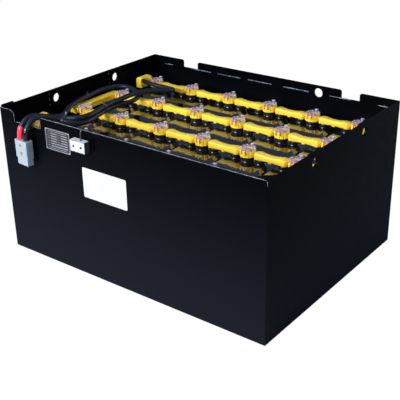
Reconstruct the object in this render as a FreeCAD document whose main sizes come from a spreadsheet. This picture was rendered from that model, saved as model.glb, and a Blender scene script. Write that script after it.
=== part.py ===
import FreeCAD, Part
import math
import os
import Sketcher
from FreeCAD import Placement, Rotation, Vector

os.makedirs("parts", exist_ok=True)
doc = FreeCAD.newDocument("traction_battery")

# The origin is the middle of the tray's underside, +X runs to the right along the front wall,
# +Y to the rear wall and +Z up. All lengths are in millimetres. Cuts that end in the open run
# past their faces by a spare millimetre.

COLUMNS = 6
ROWS = 4
PLATE_SLOTS = 7
COVER_RIBS = 12
GRIP_GROOVES = 8
SENSOR_COLUMN = 2
SPARE = 1.0

DRIVING = {
    # tray
    "case_width": 982.0,
    "case_depth": 738.5,
    "case_height": 480.0,
    "wall": 4.5,
    "floor_thick": 4.5,
    "tab_rise": 6.0,
    "tab_length": 45.0,
    "notch_left": 63.0,
    "notch_width": 116.0,
    "notch_depth": 35.0,
    "notch_round": 19.0,
    "rear_seam": 454.0,
    "rear_notch_width": 65.0,
    "rear_notch_left": 139.0,
    "rear_notch_right": 134.0,
    "rear_hole_place": 208.8,
    "rear_hole_height": 456.0,
    "lift_hole_radius": 15.0,
    "lift_hole_height": 450.0,
    "lift_hole_place": 141.0,
    "strip_round": 7.2,
    "doubler_width": 58.0,
    "doubler_height": 56.0,
    "gusset_across": 48.0,
    "gusset_back": 56.0,
    "gusset_thick": 4.5,
    "gusset_top": 476.0,
    # cells
    "cell_gap": 3.2,
    "jar_wall": 3.0,
    "jar_round": 4.0,
    "lid_top": 383.0,
    "lid_height": 20.0,
    "lid_rise": 8.0,
    "lid_border": 1.5,
    "lid_slope": 13.0,
    "boss_radius": 15.0,
    "boss_top": 392.0,
    "neck_radius": 20.5,
    "neck_bore": 17.0,
    "neck_top": 397.0,
    "packer_thick": 2.4,
    "packer_top": 372.0,
    "packer_end_gap": 2.0,
    "plates_top": 320.0,
    "plates_gap": 1.0,
    "slot_width": 2.0,
    "slot_depth": 39.4,
    "slot_inset": 18.0,
    "pole_bar_height": 12.0,
    "pole_bar_width": 30.0,
    "pole_bar_inset": 6.0,
    # terminals
    "post_radius": 11.0,
    "post_top": 397.0,
    "bolt_radius": 5.0,
    "bolt_depth": 22.0,
    "thread_spare": 2.0,
    "bolt_head_height": 6.4,
    "bolt_across": 16.0,
    "bolt_flange_radius": 10.5,
    "bolt_flange_height": 1.6,
    "strap_thick": 4.0,
    "strap_width": 20.0,
    "strap_eye": 12.5,
    # yellow covers
    "cover_wall": 2.0,
    "cover_bottom": 395.4,
    "cover_top": 413.5,
    "cover_lobe": 18.0,
    "cover_waist": 27.0,
    "cover_step": 1.0,
    "cover_blend": 7.0,
    "cover_clear": 0.8,
    "leg_length": 7.0,
    "leg_width": 12.0,
    "end_cover_width": 30.0,
    "rib_pitch": 11.0,
    "rib_gap": 3.0,
    "rib_depth": 1.2,
    "rib_drop": 3.0,
    "lug_width": 16.0,
    "lug_riser": 27.0,
    "lug_across": 14.8,
    "lug_reach": 40.5,
    "lug_height": 421.0,
    "lug_turn": 22.0,
    "barrel_length": 20.0,
    "boot_radius": 16.0,
    "boot_top": 428.0,
    "boot_round": 7.0,
    "boot_arm": 23.0,
    "boot_nozzle": 11.0,
    "boot_overhang": 8.8,
    "boot_roof": 2.4,
    "nozzle_length": 22.0,
    # vents
    "plug_radius": 23.5,
    "plug_top": 415.0,
    "dish_radius": 20.5,
    "dish_floor": 405.0,
    "spigot_radius": 16.6,
    "spigot_wall": 2.4,
    "spigot_bottom": 368.0,
    "deck_thick": 5.0,
    "scallops": 12.0,
    "scallop_radius": 3.2,
    "scallop_outset": 1.984,
    "filler_radius": 5.0,
    "filler_across": 5.0,
    "filler_along": -2.0,
    "float_radius": 2.6,
    "float_across": -10.0,
    "float_along": 3.5,
    "float_rise": 6.0,
    "float_low": 374.0,
    "float_collar": 4.2,
    "collar_thick": 1.5,
    "cap_gap": 0.3,
    "cap_height": 6.5,
    "cap_wall": 2.0,
    "hinge_back": 26.8,
    "hinge_rise": 1.9,
    "ear_drop": 7.0,
    "ear_foot": 2.0,
    "knuckle_radius": 2.6,
    "knuckle_half": 4.6,
    "ear_half": 8.4,
    "trunnion_half": 8.2,
    "trunnion_radius": 1.5,
    "running_gap": 0.05,
    "cap_relief": 7.3,
    "web_thick": 2.8,
    "web_lift": 0.2,
    "web_inset": 4.5,
    "tab_left": 7.0,
    "tab_right": 3.0,
    "tab_root": 2.0,
    "tab_reach": 31.0,
    "tab_thick": 4.6,
    # cables and connector
    "cable_radius": 8.0,
    "sleeve_wall": 1.4,
    "sleeve_gap": 0.15,
    "tie_gap": 0.5,
    "tie_thick": 1.4,
    "tie_width": 5.0,
    "lock_length": 6.0,
    "lock_width": 7.0,
    "lock_height": 5.0,
    "connector_width": 56.0,
    "connector_thick": 26.0,
    "connector_upper": 56.0,
    "connector_lower": 23.0,
    "connector_round": 3.0,
    "shoulder_width": 3.5,
    "shoulder_depth": 2.5,
    "grip_top": 8.0,
    "grip_pitch": 5.2,
    "grip_gap": 2.4,
    "grip_depth": 1.3,
    "pole_spacing": 28.5,
    "mouth_width": 20.0,
    "mouth_thick": 15.0,
    "mouth_depth": 30.0,
    "contact_barrel": 26.0,
    "blade_width": 12.4,
    "blade_thick": 3.0,
    "blade_offset": 2.0,
    "blade_short": 6.0,
    "bush_half": 3.2,
    "bush_seat": 2.5,
    "bush_thick": 1.8,
    "wire_radius": 2.25,
    # plate and indicator
    "plate_width": 101.0,
    "plate_height": 66.0,
    "plate_thick": 1.0,
    "plate_left": 198.0,
    "plate_low": 389.0,
    "plate_round": 3.0,
    "indicator_width": 58.0,
    "indicator_height": 34.0,
    "indicator_depth": 20.0,
    "indicator_place": -139.0,
    "indicator_low": 417.0,
    "indicator_round": 2.0,
    "bracket_thick": 2.0,
    "bracket_left": 14.0,
    "bracket_right": 18.0,
    "bracket_rise": 6.0,
    "lamp_radius": 3.0,
    "lamp_proud": 2.6,
    "lamp_round": 1.56,
    "lamp_spacing": 30.0,
    "sensor_radius": 9.0,
    "sensor_gland": 6.0,
    "sensor_base_top": 398.0,
    "sensor_top": 412.0,
    "sensor_left": 47.15,
    "sensor_front": 66.4,
    "fit_gap": 0.3,
}

DERIVED = {
    "inner_width": "=case_width - 2 * wall",
    "inner_depth": "=case_depth - 2 * wall",
    "pitch_x": f"=inner_width / {COLUMNS}",
    "pitch_y": f"=inner_depth / {ROWS}",
    "jar_width": "=pitch_x - cell_gap",
    "jar_depth": "=pitch_y - cell_gap",
    "terminal_span": "=2 * (plug_radius + cover_clear + cover_lobe)",
    "jar_top": "=lid_top - lid_height",
    "lid_edge": "=lid_top - lid_rise",
    "bars_top": "=plates_top + pole_bar_height",
    "strap_top": "=post_top + strap_thick",
    "lobe_span": "=pitch_x - terminal_span",
    "cap_bottom": "=plug_top + cap_gap",
    "cap_top": "=cap_bottom + cap_height",
    "hinge_height": "=plug_top + hinge_rise",
    "front_face": "=-case_depth / 2",
    "plates_width": "=jar_width - 2 * jar_wall - 2 * plates_gap",
    "plates_depth": "=jar_depth - 2 * jar_wall - 2 * plates_gap",
    "sleeve_radius": "=cable_radius + sleeve_wall",
}


def sheet_of_sizes():
    """The spreadsheet that every size is bound to."""
    sheet = doc.addObject("Spreadsheet::Sheet", "size")
    for row, (alias, value) in enumerate({**DRIVING, **DERIVED}.items(), start=1):
        sheet.set(f"A{row}", alias)
        sheet.set(f"B{row}", str(value))
        sheet.setAlias(f"B{row}", alias)
    doc.recompute()
    return sheet


size = sheet_of_sizes()


def column_x(column):
    """Where a column of cells lies, counted from the left."""
    return f"size.pitch_x * {column - (COLUMNS - 1) / 2}"


def row_y(row):
    """Where a row of cells lies, counted from the rear."""
    return f"size.pitch_y * {(ROWS - 1) / 2 - row}"


def new_body(name):
    body = doc.addObject("PartDesign::Body", name)
    body.Label = name
    return body


def new_sketch(body, role, height="0"):
    """A sketch on an origin plane of the body, raised along the plane's normal."""
    plane = next(f for f in body.Origin.OriginFeatures if f.Role == role)
    sketch = body.newObject("Sketcher::SketchObject", body.Name + "_sketch")
    sketch.AttachmentSupport = (plane, [""])
    sketch.MapMode = "FlatFace"
    sketch.setExpression("AttachmentOffset.Base.z", height)
    return sketch


def hold(sketch, kind, geometry, vertex, value):
    """Hold one coordinate of a point at an expression of the sheet's sizes."""
    index = sketch.addConstraint(Sketcher.Constraint(kind, -1, 1, geometry, vertex, 1.0))
    sketch.setExpression(f"Constraints[{index}]", value)


def add_polygon(sketch, corners):
    """A closed outline of straight lines through corners given as pairs of expressions."""
    count = len(corners)
    first = sketch.GeometryCount
    spots = [Vector(9 * math.cos(2 * math.pi * i / count), 9 * math.sin(2 * math.pi * i / count), 0)
             for i in range(count)]
    for i in range(count):
        sketch.addGeometry(Part.LineSegment(spots[i], spots[(i + 1) % count]))
    for i in range(count):
        following = first + (i + 1) % count
        sketch.addConstraint(Sketcher.Constraint("Coincident", first + i, 2, following, 1))
    for i, (across, along) in enumerate(corners):
        hold(sketch, "DistanceX", first + i, 1, across)
        hold(sketch, "DistanceY", first + i, 1, along)


def add_rectangle(sketch, left, right, low, high):
    add_polygon(sketch, [(left, low), (right, low), (right, high), (left, high)])


def add_centred(sketch, width, depth):
    """A rectangle about the sketch's origin."""
    add_rectangle(sketch, f"-({width}) / 2", f"({width}) / 2", f"-({depth}) / 2", f"({depth}) / 2")


def add_circle(sketch, across, along, radius):
    circle = sketch.addGeometry(Part.Circle(Vector(1, 1, 0), Vector(0, 0, 1), 4))
    hold(sketch, "DistanceX", circle, 3, across)
    hold(sketch, "DistanceY", circle, 3, along)
    index = sketch.addConstraint(Sketcher.Constraint("Radius", circle, 4.0))
    sketch.setExpression(f"Constraints[{index}]", radius)


def pad(body, sketch, length, reverse=False):
    feature = body.newObject("PartDesign::Pad", body.Name + "_pad")
    feature.Profile = sketch
    feature.Reversed = reverse
    feature.setExpression("Length", length)
    sketch.Visibility = False
    doc.recompute()
    return feature


def pocket(body, sketch, length, reverse=False):
    """Cut a sketch's outline against the plane's normal, or along it when reversed."""
    before = body.Shape.Volume
    feature = body.newObject("PartDesign::Pocket", body.Name + "_pocket")
    feature.Profile = sketch
    feature.Reversed = reverse
    feature.setExpression("Length", length)
    doc.recompute()
    if body.Shape.Volume > before - 1e-3:
        raise RuntimeError(f"{feature.Name} cuts nothing")
    return feature


def fillet(body, radius, chosen):
    """Round the edges of the body that a test chooses."""
    names = [f"Edge{i}" for i, edge in enumerate(body.Shape.Edges, start=1) if chosen(edge)]
    base = body.Tip
    feature = body.newObject("PartDesign::Fillet", body.Name + "_fillet")
    feature.Base = (base, names)
    feature.setExpression("Radius", radius)
    doc.recompute()
    if not names or "Invalid" in feature.State:
        raise RuntimeError(f"{feature.Name} rounds nothing")
    return feature


def upright(edge):
    """Whether an edge is a straight vertical one."""
    box = edge.BoundBox
    return box.XLength < 1e-6 and box.YLength < 1e-6


def lengthwise(edge):
    """Whether an edge is a straight one along Y."""
    box = edge.BoundBox
    return box.XLength < 1e-6 and box.ZLength < 1e-6


def level_at(height):
    """A test for edges that lie in the level plane at a height."""
    return lambda edge: abs(edge.BoundBox.ZMin - height) < 1e-4 and edge.BoundBox.ZLength < 1e-4


def linear_pattern(body, feature, role, length, count):
    """Repeat a feature along an origin axis of the body."""
    axis = next(f for f in body.Origin.OriginFeatures if f.Role == role)
    pattern = body.newObject("PartDesign::LinearPattern", body.Name + "_row")
    pattern.Originals = [feature]
    pattern.Direction = (axis, [""])
    pattern.setExpression("Length", length)
    pattern.Occurrences = count
    body.Tip = pattern
    doc.recompute()
    return pattern


def polar_pattern(body, feature, role, count):
    """Repeat a feature round an origin axis of the body."""
    axis = next(f for f in body.Origin.OriginFeatures if f.Role == role)
    pattern = body.newObject("PartDesign::PolarPattern", body.Name + "_ring")
    pattern.Originals = [feature]
    pattern.Axis = (axis, [""])
    pattern.Angle = 360
    pattern.Occurrences = count
    body.Tip = pattern
    doc.recompute()
    return pattern


def copy_at(name, piece, across, along, height="0", turn=0):
    """One more of a piece, set down at a place and turned about the vertical."""
    link = doc.addObject("App::Link", name)
    link.LinkedObject = piece
    link.Label = name
    link.Placement = Placement(Vector(), Rotation(Vector(0, 0, 1), turn))
    link.setExpression("Placement.Base.x", across)
    link.setExpression("Placement.Base.y", along)
    link.setExpression("Placement.Base.z", height)
    return link


def group(name, piece, places):
    """A sub-part made of equal solids, one at each place."""
    whole = doc.addObject("Part::Compound", name)
    whole.Label = name
    whole.Links = [copy_at(f"{name}_{i}", piece, *place) for i, place in enumerate(places, start=1)]
    return whole


def all_cells():
    return [(column_x(column), row_y(row)) for row in range(ROWS) for column in range(COLUMNS)]


# Tray: a welded steel box of plates, open at the top.


def tray_floor():
    body = new_body("tray_floor")
    outline = new_sketch(body, "XY_Plane")
    add_centred(outline, "size.inner_width", "size.inner_depth")
    pad(body, outline, "size.floor_thick")
    return body


def tray_front_wall():
    """The front wall, with the notch that lets the cables out beside its corner tab."""
    body = new_body("tray_front_wall")
    body.setExpression("Placement.Base.y", "-size.inner_depth / 2")
    left = "-size.case_width / 2"
    floor = "size.case_height - size.notch_depth"
    outline = new_sketch(body, "XZ_Plane")
    add_polygon(outline, [
        (left, "0"),
        ("size.case_width / 2", "0"),
        ("size.case_width / 2", "size.case_height"),
        (f"{left} + size.notch_left + size.notch_width", "size.case_height"),
        (f"{left} + size.notch_left + size.notch_width", floor),
        (f"{left} + size.notch_left", floor),
        (f"{left} + size.notch_left", "size.case_height"),
        (left, "size.case_height"),
    ])
    pad(body, outline, "size.wall")
    edge_x = -size.case_width / 2 + size.notch_left
    fillet(body, "size.notch_round", lambda edge: edge.BoundBox.ZLength < 1e-6
           and abs(edge.BoundBox.XMin - edge_x) < 1e-3 and edge.BoundBox.XLength < 1e-6
           and edge.BoundBox.ZMin > size.case_height - 1e-3)
    return body


def tray_rear_wall():
    """The rear wall's main plate, which ends at the seam below the notched strips."""
    body = new_body("tray_rear_wall")
    body.setExpression("Placement.Base.y", "size.case_depth / 2")
    outline = new_sketch(body, "XZ_Plane")
    add_rectangle(outline, "-size.case_width / 2", "size.case_width / 2", "0", "size.rear_seam")
    pad(body, outline, "size.wall")
    hole = new_sketch(body, "XZ_Plane")
    add_circle(hole, "size.rear_hole_place", "size.rear_hole_height", "size.lift_hole_radius")
    pocket(body, hole, "size.wall", reverse=True)
    return body


def rear_strip(name, left, right, rounded):
    """One of the flat strips that stand on the rear wall's seam, between the notches."""
    body = new_body(name)
    body.setExpression("Placement.Base.y", "size.case_depth / 2")
    outline = new_sketch(body, "XZ_Plane")
    add_rectangle(outline, left, right, "size.rear_seam", "size.case_height")
    pad(body, outline, "size.wall")
    box = body.Shape.BoundBox
    ends = {"left": box.XMin, "right": box.XMax}
    fillet(body, "size.strip_round", lambda edge: edge.BoundBox.ZMin > size.case_height - 1e-3
           and edge.BoundBox.XLength < 1e-6
           and any(abs(edge.BoundBox.XMin - ends[end]) < 1e-3 for end in rounded))
    return body


def rear_strips():
    half = "size.case_width / 2"
    notch_one = f"-{half} + size.rear_notch_left"
    notch_two = f"{half} - size.rear_notch_right"
    left = rear_strip("rear_strip_left", f"-{half}", notch_one, ["right"])
    middle = rear_strip("rear_strip_middle", f"{notch_one} + size.rear_notch_width",
                        f"{notch_two} - size.rear_notch_width", ["left", "right"])
    hole = new_sketch(middle, "XZ_Plane")
    add_circle(hole, "size.rear_hole_place", "size.rear_hole_height", "size.lift_hole_radius")
    pocket(middle, hole, "size.wall", reverse=True)
    right = rear_strip("rear_strip_right", notch_two, half, ["left"])
    whole = doc.addObject("Part::Compound", "rear_strips")
    whole.Links = [left, middle, right]
    return whole


def side_wall(name, outside, inside_direction, front_tab):
    """A side wall between the front and rear ones, with its two lifting holes."""
    body = new_body(name)
    body.setExpression("Placement.Base.x", outside)
    outline = new_sketch(body, "YZ_Plane")
    front = "-size.inner_depth / 2"
    back = "size.inner_depth / 2"
    top = "size.case_height"
    corners = [(front, "0"), (back, "0"), (back, top)]
    if front_tab:
        raised = "size.case_height + size.tab_rise"
        corners += [(f"{front} + size.tab_length + size.tab_rise", top),
                    (f"{front} + size.tab_length", raised), (front, raised)]
    else:
        corners += [(front, top)]
    add_polygon(outline, corners)
    pad(body, outline, "size.wall", reverse=inside_direction < 0)
    holes = new_sketch(body, "YZ_Plane")
    for place in ("-size.lift_hole_place", "size.lift_hole_place"):
        add_circle(holes, place, "size.lift_hole_height", "size.lift_hole_radius")
    pocket(body, holes, "size.wall", reverse=inside_direction > 0)
    return body


def lifting_doubler():
    """A square plate welded inside a side wall round its lifting hole."""
    body = new_body("lifting_doubler")
    outline = new_sketch(body, "YZ_Plane")
    low = "size.case_height - size.doubler_height"
    add_rectangle(outline, "-size.doubler_width / 2", "size.doubler_width / 2", low,
                  "size.case_height")
    add_circle(outline, "0", "size.lift_hole_height", "size.lift_hole_radius")
    pad(body, outline, "size.wall")
    return body


def lifting_doublers():
    left = "-size.inner_width / 2"
    right = "size.inner_width / 2 - size.wall"
    places = [(side, f"{sign}size.lift_hole_place") for side in (left, right) for sign in "+-"]
    return group("lifting_doublers", lifting_doubler(), places)


def corner_gusset():
    """The triangular plate across the front right corner."""
    body = new_body("corner_gusset")
    outline = new_sketch(body, "XY_Plane", "size.gusset_top - size.gusset_thick")
    corner = ("size.inner_width / 2", "-size.inner_depth / 2")
    add_polygon(outline, [
        corner,
        (corner[0], f"{corner[1]} + size.gusset_back"),
        (f"{corner[0]} - size.gusset_across", corner[1]),
    ])
    pad(body, outline, "size.gusset_thick")
    return body


# Cells: open jars with plate groups, closed by welded lids.


def cell_jar():
    body = new_body("cell_jar")
    outline = new_sketch(body, "XY_Plane", "size.floor_thick")
    add_centred(outline, "size.jar_width", "size.jar_depth")
    pad(body, outline, "size.jar_top - size.floor_thick")
    fillet(body, "size.jar_round", upright)
    inside = new_sketch(body, "XY_Plane", "size.jar_top")
    add_centred(inside, "size.jar_width - 2 * size.jar_wall", "size.jar_depth - 2 * size.jar_wall")
    pocket(body, inside, "size.jar_top - size.floor_thick - size.jar_wall")
    return body


def plate_group():
    """The plates and separators of one cell, slotted between the plates, under two pole bars."""
    body = new_body("plate_group")
    bottom = "size.floor_thick + size.jar_wall"
    block = new_sketch(body, "XY_Plane", bottom)
    add_centred(block, "size.plates_width", "size.plates_depth")
    pad(body, block, f"size.plates_top - ({bottom})")
    slot = new_sketch(body, "XY_Plane", "size.plates_top")
    near = "-size.plates_depth / 2 + size.slot_inset"
    add_rectangle(slot, "-size.plates_width / 2", "size.plates_width / 2", near,
                  f"{near} + size.slot_width")
    first = pocket(body, slot, "size.slot_depth")
    linear_pattern(body, first, "Y_Axis",
                   "size.plates_depth - 2 * size.slot_inset - size.slot_width", PLATE_SLOTS)
    bars = new_sketch(body, "XY_Plane", "size.plates_top")
    for side in ("-", ""):
        middle = f"{side}size.terminal_span / 2"
        half = "size.pole_bar_width / 2"
        add_rectangle(bars, f"{middle} - {half}", f"{middle} + {half}",
                      "-size.plates_depth / 2 + size.pole_bar_inset",
                      "size.plates_depth / 2 - size.pole_bar_inset")
    pad(body, bars, "size.pole_bar_height")
    return body


def cell_lid():
    """A lid with a sloped border, two terminal bosses and the neck of its vent."""
    body = new_body("cell_lid")
    rim = new_sketch(body, "XY_Plane", "size.jar_top")
    add_centred(rim, "size.jar_width", "size.jar_depth")
    pad(body, rim, "size.lid_edge - size.jar_top")
    fillet(body, "size.jar_round", upright)
    low = new_sketch(body, "XY_Plane", "size.lid_edge")
    border = "2 * size.lid_border"
    add_centred(low, f"size.jar_width - {border}", f"size.jar_depth - {border}")
    high = new_sketch(body, "XY_Plane", "size.lid_top")
    slope = f"{border} - 2 * size.lid_slope"
    add_centred(high, f"size.jar_width - {slope}", f"size.jar_depth - {slope}")
    plateau = body.newObject("PartDesign::AdditiveLoft", "lid_plateau")
    plateau.Profile = low
    plateau.Sections = [high]
    doc.recompute()
    neck = new_sketch(body, "XY_Plane", "size.lid_edge")
    add_circle(neck, "0", "0", "size.neck_radius")
    pad(body, neck, "size.neck_top - size.lid_edge")
    bosses = new_sketch(body, "XY_Plane", "size.lid_edge")
    for side in ("-", ""):
        add_circle(bosses, f"{side}size.terminal_span / 2", "0", "size.boss_radius")
    pad(body, bosses, "size.boss_top - size.lid_edge")
    inside = new_sketch(body, "XY_Plane", "size.jar_top")
    wall = "2 * size.jar_wall"
    add_centred(inside, f"size.jar_width - {wall}", f"size.jar_depth - {wall}")
    pocket(body, inside, "size.lid_edge - size.jar_wall - size.jar_top", reverse=True)
    bores = new_sketch(body, "XY_Plane", "size.neck_top")
    add_circle(bores, "0", "0", "size.neck_bore")
    for side in ("-", ""):
        place = f"{side}size.terminal_span / 2"
        add_circle(bores, place, "0", "size.post_radius + size.fit_gap")
    pocket(body, bores, "size.neck_top - size.jar_top")
    return body


def terminal_post():
    """A round lead post with its threaded hole, standing on a pole bar."""
    body = new_body("terminal_post")
    round_post = new_sketch(body, "XY_Plane", "size.bars_top")
    add_circle(round_post, "0", "0", "size.post_radius")
    pad(body, round_post, "size.post_top - size.bars_top")
    hole = new_sketch(body, "XY_Plane", "size.post_top")
    add_circle(hole, "0", "0", "size.bolt_radius + size.running_gap")
    pocket(body, hole, "size.bolt_depth + size.thread_spare")
    return body


def terminal_places():
    return [(f"{x} {side} size.terminal_span / 2", y) for x, y in all_cells() for side in "-+"]


def row_packers():
    """The sheets that fill the gaps between the rows of cells."""
    body = new_body("row_packer")
    outline = new_sketch(body, "XY_Plane", "size.floor_thick")
    add_centred(outline, "size.inner_width - 2 * size.packer_end_gap", "size.packer_thick")
    pad(body, outline, "size.packer_top - size.floor_thick")
    places = [("0", f"{row_y(row)} - size.pitch_y / 2") for row in range(ROWS - 1)]
    return group("row_packers", body, places)


# Connections between the cells.


def strap(name, span, across):
    """A flat bar with a round eye at each end, lying along X, or along Y when not across."""
    body = new_body(name)
    ends = [(f"-({span}) / 2", "0"), (f"({span}) / 2", "0")]
    length, width = span, "size.strap_width"
    if not across:
        ends = [(y, x) for x, y in ends]
        length, width = width, length
    bar = new_sketch(body, "XY_Plane", "size.post_top")
    add_centred(bar, length, width)
    pad(body, bar, "size.strap_thick")
    eyes = new_sketch(body, "XY_Plane", "size.post_top")
    for end in ends:
        add_circle(eyes, *end, "size.strap_eye")
    pad(body, eyes, "size.strap_thick")
    holes = new_sketch(body, "XY_Plane", "size.strap_top")
    for end in ends:
        add_circle(holes, *end, "size.bolt_radius + size.fit_gap")
    pocket(body, holes, "size.strap_thick")
    return body


def joints_in_rows():
    return [(f"{column_x(column)} + size.pitch_x / 2", row_y(row))
            for row in range(ROWS) for column in range(COLUMNS - 1)]


def row_ends():
    """The straps that lead from one row to the next, right, left and right."""
    edge = f"({column_x(COLUMNS - 1)} + size.terminal_span / 2)"
    sides = ["", "-", ""]
    return [(f"{side}{edge}", f"{row_y(row)} - size.pitch_y / 2") for row, side in enumerate(sides)]


def strap_bolt():
    """A hexagon bolt with a flange, screwed down into its post."""
    body = new_body("strap_bolt")
    shank = new_sketch(body, "XY_Plane", "size.strap_top - size.bolt_depth")
    add_circle(shank, "0", "0", "size.bolt_radius")
    pad(body, shank, "size.bolt_depth")
    flange = new_sketch(body, "XY_Plane", "size.strap_top")
    add_circle(flange, "0", "0", "size.bolt_flange_radius")
    pad(body, flange, "size.bolt_flange_height")
    head = new_sketch(body, "XY_Plane", "size.strap_top + size.bolt_flange_height")
    corner = 0.5 / math.cos(math.pi / 6)
    add_polygon(head, [(f"size.bolt_across * {corner * math.cos(i * math.pi / 3):.6f}",
                        f"size.bolt_across * {corner * math.sin(i * math.pi / 3):.6f}")
                       for i in range(6)])
    pad(body, head, "size.bolt_head_height")
    return body


def strap_cover():
    """The moulded cover over a strap and its two bolts, waisted between round ends."""
    body = new_body("strap_cover")
    half = "size.lobe_span / 2"
    low = "size.cover_bottom"
    waist = new_sketch(body, "XY_Plane", low)
    add_centred(waist, "size.lobe_span", "size.cover_waist")
    pad(body, waist, f"size.cover_top - size.cover_step - {low}")
    ends = new_sketch(body, "XY_Plane", low)
    add_circle(ends, f"-{half}", "0", "size.cover_lobe")
    add_circle(ends, half, "0", "size.cover_lobe")
    pad(body, ends, f"size.cover_top - {low}")
    fillet(body, "size.cover_blend", lambda edge: upright(edge)
           and abs(abs(edge.BoundBox.YMin) - size.cover_waist / 2) < 1e-3)
    cavity = new_sketch(body, "XY_Plane", low)
    add_circle(cavity, f"-{half}", "0", "size.cover_lobe - size.cover_wall")
    add_circle(cavity, half, "0", "size.cover_lobe - size.cover_wall")
    pocket(body, cavity, f"size.cover_top - size.cover_wall - {low}", reverse=True)
    channel = new_sketch(body, "XY_Plane", low)
    add_centred(channel, "size.lobe_span", "size.strap_width + 2 * size.fit_gap")
    pocket(body, channel, f"size.strap_top + size.fit_gap - {low}", reverse=True)
    leg = new_sketch(body, "XY_Plane", f"{low} - size.leg_length")
    add_rectangle(leg, "-size.leg_width / 2", "size.leg_width / 2", "-size.cover_waist / 2",
                  "-size.cover_waist / 2 + size.cover_wall")
    pad(body, leg, "size.leg_length + size.cover_wall")
    return body


def end_strap_cover():
    """The long ribbed cover over a strap from one row to the next."""
    body = new_body("end_strap_cover")
    low = "size.cover_bottom"
    length = "size.pitch_y + 2 * size.cover_lobe"
    block = new_sketch(body, "XY_Plane", low)
    add_centred(block, "size.end_cover_width", length)
    pad(body, block, f"size.cover_top - size.cover_step - {low}")
    fillet(body, "size.cover_blend", upright)
    cavity = new_sketch(body, "XY_Plane", low)
    for side in ("-", ""):
        end = f"{side}size.pitch_y / 2"
        add_circle(cavity, "0", end, "size.end_cover_width / 2 - size.cover_wall")
    pocket(body, cavity, f"size.cover_top - size.cover_step - size.cover_wall - {low}",
           reverse=True)
    channel = new_sketch(body, "XY_Plane", low)
    add_centred(channel, "size.strap_width + 2 * size.fit_gap", "size.pitch_y")
    pocket(body, channel, f"size.strap_top + size.fit_gap - {low}", reverse=True)
    groove = new_sketch(body, "XY_Plane", "size.cover_top - size.cover_step - size.rib_drop")
    start = "-size.pitch_y / 2 + size.cover_lobe"
    for side in ("-", ""):
        edge = f"{side}size.end_cover_width / 2"
        other = "+" if side else "-"
        add_rectangle(groove, f"{edge} {other} size.rib_depth", edge, start,
                      f"{start} + size.rib_gap")
    first = pocket(body, groove, f"size.cover_top - size.cover_step - {low} - size.rib_drop")
    linear_pattern(body, first, "Y_Axis", f"size.rib_pitch * {COVER_RIBS - 1}", COVER_RIBS)
    return body


def lug_direction():
    """Which way a cable leaves the lug of the positive terminal."""
    turn = math.radians(size.lug_turn)
    return Vector(math.cos(turn), -math.sin(turn), 0)


def lug_exit():
    """Where a cable leaves its lug, seen from the foot of the positive terminal's post."""
    return Vector(size.lug_across, -size.lug_reach, size.lug_height)


def along_lug(name, radius, length, start):
    """A cylinder on the axis of the lug's barrel, from a distance behind the exit."""
    rod = doc.addObject("Part::Cylinder", name)
    rod.setExpression("Radius", radius)
    rod.setExpression("Height", length)
    spot = lug_exit() - lug_direction() * start
    rod.Placement = Placement(spot, Rotation(Vector(0, 0, 1), lug_direction()))
    return rod


def joined(name, base, *tools):
    """One solid of two or more objects that run into each other."""
    for i, tool in enumerate(tools, start=1):
        fuse = doc.addObject("Part::Fuse", f"{name}_{i}")
        fuse.Base = base
        fuse.Tool = tool
        base = fuse
    return base


def add_slot(sketch, half, reach):
    """A bar with a round end, from the sketch's origin down to its reach along the second axis."""
    add_polygon(sketch, [(f"-({half})", "0"), (f"-({half})", f"-({reach})"),
                         (f"{half}", f"-({reach})"), (f"{half}", "0")])


def cable_lug():
    """An elbow lug: a palm bolted to its post, a riser, and the barrel that holds the cable."""
    palm = new_body("lug_palm")
    plate = new_sketch(palm, "XY_Plane", "size.post_top")
    add_circle(plate, "0", "0", "size.strap_eye")
    pad(palm, plate, "size.strap_thick")
    tongue = new_sketch(palm, "XY_Plane", "size.post_top")
    add_slot(tongue, "size.lug_width / 2", "size.lug_riser")
    pad(palm, tongue, "size.strap_thick")
    riser = new_sketch(palm, "XY_Plane", "size.post_top")
    add_rectangle(riser, "-size.lug_width / 2", "size.lug_width / 2",
                  "-size.lug_riser", "-size.lug_riser + size.strap_thick")
    pad(palm, riser, "size.lug_height - size.post_top")
    hole = new_sketch(palm, "XY_Plane", "size.strap_top")
    add_circle(hole, "0", "0", "size.bolt_radius + size.fit_gap")
    pocket(palm, hole, "size.strap_thick")
    barrel = along_lug("lug_barrel", "size.cable_radius", "size.barrel_length",
                       size.barrel_length)
    return joined("cable_lug", palm, barrel)


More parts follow.
